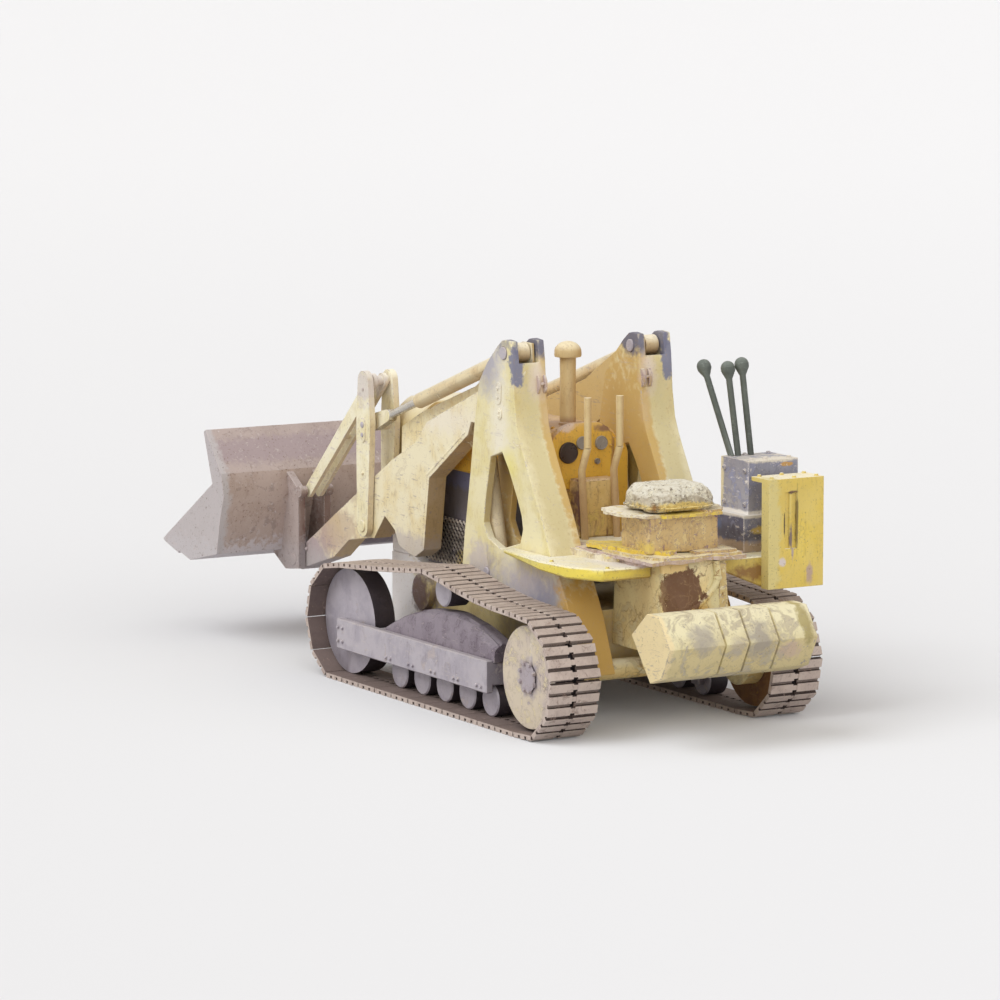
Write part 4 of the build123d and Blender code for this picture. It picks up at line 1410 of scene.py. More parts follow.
def scatter(
    name: str,
    points: list[Vector],
    forward: list[Vector],
    upward: list[Vector],
    unit: Shape,
    material: bpy.types.Material,
) -> bpy.types.Object:
    """Repeat a small shape at points by a Geometry Nodes tree, as one plain mesh.

    Args:
        name: The new piece's name.
        points: Where the unit's origin goes.
        forward: Where the unit's X axis points, for each point.
        upward: Where the unit's Z axis points, for each point.
        unit: The shape to repeat; it is used up.
        material: The finish of every copy.

    Returns:
        The piece, with its instances realized.
    """
    source = unit.piece(f"{name}_unit")
    base = bpy.data.meshes.new(name)
    base.from_pydata([tuple(p) for p in points], [], [])
    for label, vectors in (("forward", forward), ("upward", upward)):
        values = base.attributes.new(label, "FLOAT_VECTOR", "POINT")
        values.data.foreach_set("vector", [c for v in vectors for c in v])
    host = bpy.data.objects.new(name, base)
    bpy.context.scene.collection.objects.link(host)
    tree = bpy.data.node_groups.new(f"{name}_tree", "GeometryNodeTree")
    socket = tree.interface.new_socket
    socket("Places", in_out="INPUT", socket_type="NodeSocketGeometry")
    unit_socket = socket("Unit", in_out="INPUT", socket_type="NodeSocketObject")
    size_socket = socket("Size", in_out="INPUT", socket_type="NodeSocketFloat")
    socket("Pieces", in_out="OUTPUT", socket_type="NodeSocketGeometry")
    start = add_node(tree, "NodeGroupInput")
    info = add_node(tree, "GeometryNodeObjectInfo", {"Object": start.outputs["Unit"]})
    heading, rising = (
        add_node(tree, "GeometryNodeInputNamedAttribute", {"Name": label}, data_type="FLOAT_VECTOR")
        for label in ("forward", "upward")
    )
    turn = add_node(
        tree,
        "FunctionNodeAxesToRotation",
        (rising.outputs["Attribute"], heading.outputs["Attribute"]),
        primary_axis="Z",
        secondary_axis="X",
    )
    dots = add_node(tree, "GeometryNodeMeshToPoints", {"Mesh": start.outputs["Places"]})
    placed = add_node(
        tree,
        "GeometryNodeInstanceOnPoints",
        {
            "Points": dots.outputs["Points"],
            "Instance": info.outputs["Geometry"],
            "Rotation": turn.outputs["Rotation"],
            "Scale": start.outputs["Size"],
        },
    )
    real = add_node(tree, "GeometryNodeRealizeInstances", {"Geometry": placed.outputs["Instances"]})
    inputs = {"Geometry": real.outputs["Geometry"], "Material": material}
    dressed = add_node(tree, "GeometryNodeSetMaterial", inputs)
    add_node(tree, "NodeGroupOutput", {"Pieces": dressed.outputs["Geometry"]})
    modifier = host.modifiers.new("repeat", "NODES")
    modifier.node_group = tree
    modifier[unit_socket.identifier] = source
    modifier[size_socket.identifier] = 1.0
    evaluated = host.evaluated_get(bpy.context.evaluated_depsgraph_get())
    data = bpy.data.meshes.new_from_object(evaluated)
    host.modifiers.clear()
    host.data = data
    bpy.data.objects.remove(source)
    return host


def hex_head(across: float, height: float) -> Shape:
    """Hexagon bolt head on a thin washer, standing on its origin along Z.

    Args:
        across: Its width across the flats.
        height: Above the washer.

    Returns:
        The head with its washer.
    """
    head = Shape()
    washer, corner = across * 0.72, across / 2 * 1.155
    head.turned(Vector(), UP, [(-0.002, washer), (0.003, washer)], 14)
    profile = [(0, corner), (height - 0.002, corner), (height, across * 0.48)]
    head.turned(Vector((0, 0, 0.003)), UP, profile, 6)
    return head


# ---- Studio ----


@dataclass
class Studio:
    """Plain floor, soft light and the camera."""

    place: Vector = field(default_factory=lambda: Vector((-24.139, 13.918, 4.908)))
    azimuth: float = 29.888
    pitch: float = 7.968
    lens_mm: float = 183.2
    floor_reach: float = 220.0
    floor_near: str = "#DADBDF"
    floor_far: str = "#DEDFE3"
    sky: float = 0.74
    sun: float = 1.3
    fill: float = 1.0

    def build(self) -> None:
        """Make the floor, the lights and the camera."""
        floor = Shape().slab([(-1, -1), (1, -1), (1, 1), (-1, 1)], -0.05, -0.0005)
        for vert in floor.mesh.verts:
            vert.co.x *= self.floor_reach
            vert.co.y *= self.floor_reach
        ground = floor.piece("studio_floor")
        ground.data.materials.append(self._floor_material())
        self._light()
        self._camera()

    def _floor_material(self) -> bpy.types.Material:
        """Matt pale studio floor, a little lighter far away.

        Returns:
            The material.
        """
        material = bpy.data.materials.new("studio_floor_matt")
        material.use_nodes = True
        tree = material.node_tree
        tree.nodes.clear()
        turn = math.radians(self.azimuth)
        where = add_node(tree, "ShaderNodeTexCoord").outputs["Object"]
        away = Vector((math.cos(turn), -math.sin(turn), 0.0))
        depth = add_node(tree, VECTOR_MATHS, (where, away), operation="DOT_PRODUCT").outputs["Value"]
        far = add_node(tree, RAMP, (depth, 4.0, 45.0), interpolation_type="SMOOTHSTEP")
        inputs = {"Factor": far.outputs[0], 6: linear(self.floor_near), 7: linear(self.floor_far)}
        colour = add_node(tree, "ShaderNodeMix", inputs, data_type="RGBA").outputs[2]
        shader = add_node(tree, "ShaderNodeBsdfDiffuse", {"Color": colour, "Roughness": 1.0})
        add_node(tree, "ShaderNodeOutputMaterial", {"Surface": shader.outputs["BSDF"]})
        return material

    def _light(self) -> None:
        """Even sky, a broad soft lamp from the left, and a fill from behind."""
        world = bpy.data.worlds.new("studio_sky")
        bpy.context.scene.world = world
        world.use_nodes = True
        backdrop = world.node_tree.nodes["Background"]
        backdrop.inputs["Color"].default_value = linear("#FFF8EE")
        backdrop.inputs["Strength"].default_value = self.sky
        lamps = (
            ("studio_soft_lamp", self.sun, 40.0, (0.05, 0.62, 0.78)),
            ("studio_fill_lamp", self.fill, 110.0, (-0.95, 0.05, 0.3)),
        )
        for name, energy, angle, toward in lamps:
            lamp = bpy.data.lights.new(name, "SUN")
            lamp.energy = energy
            lamp.color = (0.95, 0.98, 1.0)
            lamp.angle = math.radians(angle)
            holder = bpy.data.objects.new(name, lamp)
            holder.rotation_euler = Vector(toward).to_track_quat("Z", "Y").to_euler()
            bpy.context.scene.collection.objects.link(holder)

    def _camera(self) -> None:
        """A long lens, from behind and to the left."""
        data = bpy.data.cameras.new("studio_camera")
        data.lens = self.lens_mm
        data.sensor_width = 36.0
        data.clip_end = 1000.0
        camera = bpy.data.objects.new("studio_camera", data)
        camera.location = self.place
        camera.rotation_euler = (
            math.radians(90 - self.pitch),
            0.0,
            math.radians(-90 - self.azimuth),
        )
        bpy.context.scene.collection.objects.link(camera)
        bpy.context.scene.camera = camera
        bpy.context.scene.view_settings.view_transform = "Standard"


# ---- Assemblies ----


@dataclass
class Undercarriage:
    """Tracks, wheels and the frames that carry them."""

    shop: Workshop
    shoe_count: int = 32
    shoe_half_width: float = 0.15
    plate: float = 0.011
    bar_height: float = 0.028
    bar_width: float = 0.046
    groove: float = 0.02
    notch: float = 0.009
    gap: float = 0.002
    eye_half_width: float = 0.0135
    wrap: float = 0.309
    rear_axle: Point2 = (0.0, 0.32)
    front_axle: Point2 = (2.054, 0.323)
    carrier: Point2 = (0.98, 0.732)
    carrier_flat: float = 0.06
    sags: Point2 = (0.03, 0.006)
    track_side: float = 0.685
    cover_arc: tuple[Point2, ...] = ((0.412, 0.425), (0.916, 0.529), (1.64, 0.342))
    cover_side: float = 0.674
    cover_half_width: float = 0.072
    deck: float = 0.332
    first_roller: float = 0.5
    roller_pitch: float = 0.25
    bolt_gap: float = 0.024
    hub_bolt_radius: float = 0.075

    def build(self) -> None:
        """Make every piece of the undercarriage."""
        for side in Side:
            self._track(side)
        self._wheels()
        self._covers()
        for node in ("track_frame_left", "track_frame_right"):
            self.shop.refine(node, FRAME_STEEL, 0.006)
        self.shop.refine("cross_supports", FRAME_STEEL, 0.004)
        self.shop.refine("final_drives", CASE_ENAMEL, 0.008)
        self._fasteners()

    def _path(self) -> list[Point2]:
        """The belt's inner line.

        Returns:
            Dense points as (station, height), up round the front axle first.
        """
        points = []
        steps = 40
        front, rear = self.front_axle, self.rear_axle
        lift = [math.asin((axle[1] - self.bar_height) / self.wrap) for axle in (front, rear)]
        for i in range(steps + 1):
            angle = -lift[0] + (math.pi / 2 + lift[0]) * i / steps
            points.append((front[0] + self.wrap * math.cos(angle), front[1] + self.wrap * math.sin(angle)))
        high = (self.carrier[0] + self.carrier_flat, self.carrier[1])
        spans = (
            ((front[0], front[1] + self.wrap), high, self.sags[1]),
            (self.carrier, (rear[0], rear[1] + self.wrap), self.sags[0]),
        )
        for (x0, z0), (x1, z1), sag in spans:
            for i in range(1, steps + 1):
                t = i / steps
                points.append((x0 + (x1 - x0) * t, z0 + (z1 - z0) * t - 4 * sag * t * (1 - t)))
        for i in range(1, steps + 1):
            angle = math.pi / 2 + (math.pi / 2 + lift[1]) * i / steps
            points.append((rear[0] + self.wrap * math.cos(angle), rear[1] + self.wrap * math.sin(angle)))
        return points + [points[0]]

    def _hinges(self) -> list[Point2]:
        """The shoes' hinges, evenly spaced along the belt.

        Returns:
            Their places as (station, height).
        """
        path = self._path()
        lengths = [0.0]
        for a, b in zip(path, path[1:]):
            lengths.append(lengths[-1] + math.dist(a, b))
        corners, span = [], 0
        for i in range(self.shoe_count):
            target = lengths[-1] * i / self.shoe_count
            while lengths[span + 1] < target:
                span += 1
            t = (target - lengths[span]) / (lengths[span + 1] - lengths[span])
            a, b = path[span], path[span + 1]
            corners.append((a[0] + (b[0] - a[0]) * t, a[1] + (b[1] - a[1]) * t))
        return corners

    def _shoe(self, length: float) -> Shape:
        """One shoe with three low bars, each notched and pierced in its middle.

        Args:
            length: From one hinge to the next.

        Returns:
            The shoe, its inner face at height 0; its sunk faces are marked 1, its inner ones 2.
        """
        land = (length - 2 * self.gap - 3 * self.bar_width - 2 * self.groove) / 2
        core = self.bar_width - 2 * self.notch
        bar = [(self.notch, True, False), (core, True, True), (self.notch, True, False)]
        flat, groove = [(land, False, False)], [(self.groove, False, False)]
        strips = [*flat, *bar, *groove, *bar, *groove, *bar, *flat]
        xs = [self.gap - length / 2]
        for width, _, _ in strips:
            xs.append(xs[-1] + width)
        w, e = self.shoe_half_width, self.eye_half_width
        ys = [-w, -e, e, w]
        worn = self.bar_height - 0.004
        heights = []
        for _, raised, whole in strips:
            edge = self.bar_height if raised else self.plate
            heights.append([edge, worn if whole else 0.0, edge])
        shoe = Shape().cells(xs, ys, [0.0, self.plate, worn, self.bar_height], heights)
        bmesh.ops.dissolve_limit(
            shoe.mesh, angle_limit=math.radians(0.5), verts=shoe.mesh.verts[:], edges=shoe.mesh.edges[:]
        )
        bmesh.ops.recalc_face_normals(shoe.mesh, faces=shoe.mesh.faces[:])
        shoe.chamfer(0.0028, 40)
        # Groove floors and the bars' lower walls are marked for the near-black painted shade of the grooves.
        sunk = shoe.mesh.faces.layers.int.new("sunk")
        for face in shoe.mesh.faces:
            middle = face.calc_center_median()
            side = abs(middle.y) > w - 0.001
            face[sunk] = 2 if middle.z < 0.002 else int(middle.z < self.bar_height - 0.008 and not side)
        return shoe

    def _track(self, side: Side) -> None:
        """Lay one belt of shoes round its path.

        Args:
            side: The side that it is on.
        """
        corners = self._hinges()
        middles, along, out = [], [], []
        for (x0, z0), (x1, z1) in zip(corners, corners[1:] + corners[:1]):
            length = math.dist((x0, z0), (x1, z1))
            ux, uz = (x1 - x0) / length, (z1 - z0) / length
            middles.append(at((x0 + x1) / 2, side * self.track_side, (z0 + z1) / 2))
            along.append(Vector((ux, 0, uz)))
            out.append(Vector((uz, 0, -ux)))
        length = min(math.dist(a, b) for a, b in zip(corners, corners[1:]))
        name, shoe = f"track_belt_{side.label}", self._shoe(length)
        belt = scatter(name, middles, along, out, shoe, SHOE_STEEL.material())
        for vert in belt.data.vertices:
            vert.co.z = max(0.0, vert.co.z)
        self.shop.fit(belt, "chassis", SHOE_STEEL, f"track_{side.label}")
        # The sunk faces take the near-black painted shade of the grooves.
        belt.data.materials.append(GROOVE_SHADE_STEEL.material())
        belt.data.materials.append(SHOE_INNER.material())
        sunk = belt.data.attributes["sunk"]
        for face in belt.data.polygons:
            face.material_index = sunk.data[face.index].value

    def _wheels(self) -> None:
        """Sprockets, idlers and rollers: pale faces, dark rims."""
        for node, face in (
            ("sprocket_left", SPROCKET_ENAMEL),
            ("sprocket_right", RUSTY_CASTING),
            ("idlers", WHEEL_STEEL),
            ("bottom_rollers", WHEEL_STEEL),
            ("carrier_rollers", WHEEL_STEEL),
        ):
            wheel = self.shop.refine(node, face, 0.007)
            two_tone(wheel, RIM_STEEL, lambda polygon: abs(polygon.normal.y) < 0.5)

    def _covers(self) -> None:
        """Humped recoil-spring covers, beaten thin and creased lengthwise."""
        shape = Shape()
        rings = []
        steps, around = 60, 24
        for i in range(steps + 1):
            station, top = arc_point(self.cover_arc, i / steps)
            ring = []
            for j in range(around + 1):
                angle = math.pi * j / around
                c, s = math.cos(angle), math.sin(angle)
                y = self.cover_half_width * math.copysign(abs(c) ** 0.55, c)
                z = self.deck + (top - self.deck) * s**0.6
                crease = 0.011 * s * ripple(station * 1.5, j * 0.9, 3.7)
                crease += 0.007 * s * ripple(station * 5.0, j * 1.3, 9.1)
                ring.append(at(station, self.cover_side + y, z + crease - 0.003 * s))
            rings.append(ring)
        shape.loft(rings).both()
        self.shop.fit(shape.piece("spring_covers_creased", 50), "chassis", COVER_STEEL, "spring_covers")

    def _fasteners(self) -> None:
        """Bolts of the hangers, the bearing blocks and the sprocket hubs."""
        gaps = (-self.bolt_gap, self.bolt_gap)
        idler, axle = self.front_axle[0], self.rear_axle[1]
        for side in Side:
            toward, beyond = Vector((0, -side, 0)), side * OUTSIDE
            places = []
            for i in range(5):
                for gap in gaps:
                    places.append(at(self.first_roller + self.roller_pitch * i + gap, beyond, 0.2))
            places += [at(idler + gap, beyond, z) for gap in gaps for z in (0.215, 0.29)]
            name, node = f"roller_bolts_{side.label}", f"track_frame_{side.label}"
            self.shop.studs(name, node, places, toward, FRAME_STEEL, 0.017)
            hub = []
            for i in range(8):
                angle = math.tau * (i + 0.5) / 8
                x, z = self.hub_bolt_radius * math.cos(angle), self.hub_bolt_radius * math.sin(angle)
                hub.append(at(x, beyond, axle + z))
            finish = SPROCKET_ENAMEL if side is Side.LEFT else RUSTY_CASTING
            name, node = f"hub_bolts_{side.label}", f"sprocket_{side.label}"
            self.shop.studs(name, node, hub, toward, finish, 0.02)


def arc_point(arc: tuple[Point2, ...], share: float) -> Point2:
    """A point on the circle through three points.

    Args:
        arc: The three points, as (station, height).
        share: How far along, from the first point at 0 to the last at 1.

    Returns:
        The point, as (station, height).
    """
    (x0, z0), (x1, z1), (x2, z2) = arc
    a, b = x1 - x0, z1 - z0
    c, d = x2 - x0, z2 - z0
    e, f = a * (x0 + x1) + b * (z0 + z1), c * (x0 + x2) + d * (z0 + z2)
    g = 2 * (a * (z2 - z1) - b * (x2 - x1))
    cx, cz = (d * e - b * f) / g, (a * f - c * e) / g
    radius = math.dist((cx, cz), (x0, z0))
    station = x0 + (x2 - x0) * share
    return station, cz + math.sqrt(radius * radius - (station - cx) ** 2)


def two_tone(
    piece: bpy.types.Object, second: Finish, test: Callable[[bpy.types.MeshPolygon], bool]
) -> None:
    """Give some of a piece's faces a second finish.

    Args:
        piece: The piece.
        second: The second finish.
        test: Says whether a face gets it.
    """
    piece.data.materials.append(second.material())
    index = len(piece.data.materials) - 1
    for face in piece.data.polygons:
        if test(face):
            face.material_index = index


@dataclass
class Chassis:
    """Hull, posts, rear case, plates and counterweight."""

    shop: Workshop
    mesh_pitch: float = 0.041
    mesh_rise: float = 0.04
    strand: float = 0.006
    mesh_start: Point2 = (1.52, 0.66)
    mesh_side: float = 0.246
    pad_sides: Point2 = (0.4945, 0.5025)

    def build(self) -> None:
        """Make the fixed plates and castings."""
        for node, finish, chamfer in (
            ("main_frame", NOSE_ENAMEL, 0.006),
            ("rear_case", CASE_ENAMEL, 0.01),
            ("tower_left", POST_ENAMEL, 0.005),
            ("tower_right", POST_ENAMEL, 0.005),
            ("tower_pins", FRAME_STEEL, 0.004),
            ("floor_plate", STEP_ENAMEL, 0.004),
            ("fender_left", STEP_ENAMEL, 0.009),
            ("fender_right", STEP_ENAMEL, 0.009),
            ("counterweight", WEIGHT_ENAMEL, 0.012),
            ("radiator_guard", NOSE_ENAMEL, 0.008),
            ("hood", DASH_ENAMEL, 0.012),
            ("engine_block", ENGINE_IRON, 0.006),
        ):
            self.shop.refine(node, finish, chamfer)
        self.shop.refine("engine_screens", SCREEN_DARK, 0.002)
        self._screen_mesh()
        self._post_fittings()
        self._rear_pipe()
        self._fasteners()

    def _screen_mesh(self) -> None:
        """Expanded-metal mesh over the engine's sides: flat diamond strands."""
        strand = Shape()
        p, r, t = self.mesh_pitch / 2, self.mesh_rise / 2, self.strand
        for x0, z0, x1, z1 in ((0, r, p, 0), (p, 0, 0, -r), (0, -r, -p, 0), (-p, 0, 0, r)):
            strand.bar(Vector((x0, 0.0, z0)), Vector((x1, 0.0, z1)), t, 4)
        places = []
        columns, rows = 13, 6
        station, foot = self.mesh_start
        for side in Side:
            for i in range(columns):
                for j in range(2 * rows):
                    shift = p if j % 2 else 0.0
                    x = station + self.mesh_pitch * i + shift
                    places.append(at(x, side * self.mesh_side, foot + r * j))
        forward, upward = [FORWARD] * len(places), [UP] * len(places)
        mesh = scatter("engine_screen_mesh", places, forward, upward, strand, SCREEN_ZINC.material())
        self.shop.fit(mesh, "chassis", SCREEN_ZINC)

    def _post_fittings(self) -> None:
        """Oval pads with pin heads on the posts' outer sides, and a knuckle at each rear edge."""
        pads, heads, lugs = Shape(), [], Shape()
        for centre, long, wide in (((0.802, 1.712), 0.062, 0.03), ((0.79, 1.6), 0.03, 0.024)):
            pads.prism(in_row_frame(oval(centre, long, wide, 0.06)), *self.pad_sides)
            heads += [at(centre[0], 0.7, centre[1] + dz) for dz in (-0.4 * long, 0.4 * long)]
        pads.both().chamfer(0.0025)
        self.shop.fit(pads.piece("post_pads"), "chassis", POST_ENAMEL)
        for side in Side:
            places = [Vector((p.x, side * p.y, p.z)) for p in heads]
            name, node = f"post_pad_pins_{side.label}", f"tower_{side.label}"
            self.shop.studs(name, node, places, Vector((0, -side, 0)), POST_ENAMEL, 0.016, 0.011)
        outline = [(0.0, -0.052), (0.02, -0.046), (0.03, -0.02), (0.028, 0.02), (0.012, 0.045), (0.0, 0.05)]
        for y0, y1 in ((0.298, 0.314), (0.338, 0.352)):
            lugs.prism([(0.65 - ORIGIN - x, 1.765 + z) for x, z in outline], y0, y1)
        lugs.bar(at(0.634, 0.3, 1.768), at(0.634, 0.35, 1.768), 0.009, 16)
        lugs.both().chamfer(0.003)
        self.shop.fit(lugs.piece("post_knuckles"), "chassis", BOARD_LILAC)

    def _rear_pipe(self) -> None:
        """Crankcase pipe that crosses the rear case, on two clips."""
        bends = (
            (-0.383, 0.09, 0.64),
            (-0.386, -0.02, 0.69),
            (-0.388, -0.1, 0.76),
            (-0.388, -0.137, 0.83),
            (-0.384, -0.13, 0.918),
        )
        path = smooth_path([at(*bend) for bend in bends])
        pipe = Shape().pipe(path, 0.018, 16)
        for share in (0.2, 0.75):
            index = int(share * (len(path) - 1))
            along = (path[index + 1] - path[index]).normalized()
            pipe.turned(path[index] - along * 0.009, along, [(0, 0.022), (0.018, 0.022)], 18)
        self.shop.fit(pipe.piece("rear_case_pipe"), "chassis", CASE_ENAMEL)
        brace = Shape().box(Vector((-1.962, -0.19, 0.46)), Vector((-1.948, -0.15, 0.9)))
        brace.roughen(0.003, 0.05, 0.03, 2.0).tidy().chamfer(0.003)
        self.shop.fit(brace.piece("rear_case_strap"), "chassis", BOARD_CREAM)

    def _fasteners(self) -> None:
        """Bolts of the covers and plates, seated on the faces they hold."""
        turns = (0.3, 1.35, 2.4, 3.45, 4.5, 5.55)
        cover = [at(-0.9, 0.06 * math.cos(turn), 0.55 + 0.06 * math.sin(turn)) for turn in turns]
        flange = [at(-0.9, y, z) for y in (-0.175, 0.175) for z in (0.5, 0.62, 0.74, 0.86)]
        left = ((-0.25, 0.24), (-0.25, 0.45), (0.05, 0.24), (0.4, 0.26), (0.1, 0.58))
        right = ((-0.25, -0.26), (0.3, -0.26), (0.3, -0.64))
        guard = [at(3.0, y, z) for y in (-0.245, 0.245) for z in (0.7, 0.9, 1.1, 1.3, 1.46)]
        hood = [at(x, y, 1.9) for x in (0.82, 1.2, 1.9) for y in (-0.15, 0.15)]
        rows = (
            ("rear_cover_bolts", "rear_case", cover, FORWARD, CASE_ENAMEL, 0.014),
            ("rear_flange_bolts", "rear_case", flange, FORWARD, CASE_ENAMEL, 0.019),
            ("fender_bolts_left", "fender_left", [at(*p, 1.2) for p in left], DOWN, STEP_ENAMEL, 0.018),
            ("fender_bolts_right", "fender_right", [at(*p, 1.2) for p in right], DOWN, STEP_ENAMEL, 0.018),
            ("guard_bolts", "radiator_guard", guard, -FORWARD, NOSE_ENAMEL, 0.02),
            ("hood_bolts", "hood", hood, DOWN, DASH_ENAMEL, 0.016),
        )
        for name, node, places, toward, finish, across in rows:
            self.shop.studs(name, node, places, toward, finish, across)


@dataclass(frozen=True)
class Board:
    """One layer of the seat's stand: an outline as (station, side), between two heights."""

    name: str
    finish: Finish
    low: float
    high: float
    outline: tuple[Point2, ...]


SEAT_BOARDS = (
    Board(
        "seat_sheet_low",
        BOARD_LILAC,
        0.922,
        0.94,
        (
            (-0.42, 0.29), (-0.4, -0.3), (-0.12, -0.315), (0.2, -0.27), (0.25, 0.02), (0.24, 0.3),
            (0.02, 0.31),
        ),
    ),
    Board(
        "seat_sheet_mid",
        BOARD_CREAM,
        0.936,
        0.954,
        (
            (-0.405, 0.2), (-0.385, -0.295), (-0.05, -0.3), (0.21, -0.2), (0.22, 0.24), (0.06, 0.3),
            (-0.2, 0.27),
        ),
    ),
    Board(
        "seat_sheet_yellow",
        BOARD_YELLOW,
        0.952,
        0.974,
        (
            (-0.34, 0.13), (-0.31, 0.06), (-0.1, 0.16), (0.13, 0.1), (0.25, 0.24), (0.2, 0.31),
            (0.0, 0.28), (-0.18, 0.24),
        ),
    ),
    Board(
        "seat_sheet_tan",
        BOARD_TAN,
        0.95,
        0.968,
        ((-0.36, -0.02), (-0.37, -0.27), (-0.1, -0.285), (0.1, -0.26), (0.08, -0.1)),
    ),
    Board(
        "seat_sheet_under",
        BOARD_LILAC,
        0.9,
        0.926,
        ((-0.3, 0.2), (-0.06, 0.2), (0.02, 0.24), (-0.08, 0.285), (-0.29, 0.27)),
    ),
    Board(
        "seat_heap",
        BOARD_WHITE,
        0.898,
        0.93,
        ((-0.12, 0.22), (0.2, 0.2), (0.44, 0.22), (0.5, 0.3), (0.34, 0.37), (0.1, 0.36), (-0.06, 0.33)),
    ),
    Board(
        "seat_heap_top",
        BOARD_LILAC,
        0.922,
        0.945,
        ((0.0, 0.22), (0.24, 0.2), (0.4, 0.25), (0.3, 0.33), (0.1, 0.32)),
    ),
    Board(
        "seat_plate_yellow",
        BOARD_YELLOW,
        1.146,
        1.162,
        ((-0.318, 0.13), (-0.315, -0.215), (-0.24, -0.235), (0.0, -0.23), (0.02, 0.1), (-0.1, 0.16)),
    ),
    Board(
        "seat_plate_white",
        BOARD_WHITE,
        1.15,
        1.164,
        (
            (-0.3, 0.24), (-0.26, 0.1), (-0.1, 0.0), (0.1, -0.05), (0.12, 0.16), (0.11, 0.28),
            (-0.02, 0.33), (-0.17, 0.3),
        ),
    ),
    Board(
        "seat_plate_tan",
        BOARD_TAN,
        1.158,
        1.173,
        ((-0.3, -0.12), (-0.305, -0.22), (-0.14, -0.3), (0.07, -0.28), (0.09, -0.05), (-0.1, 0.0)),
    ),
)


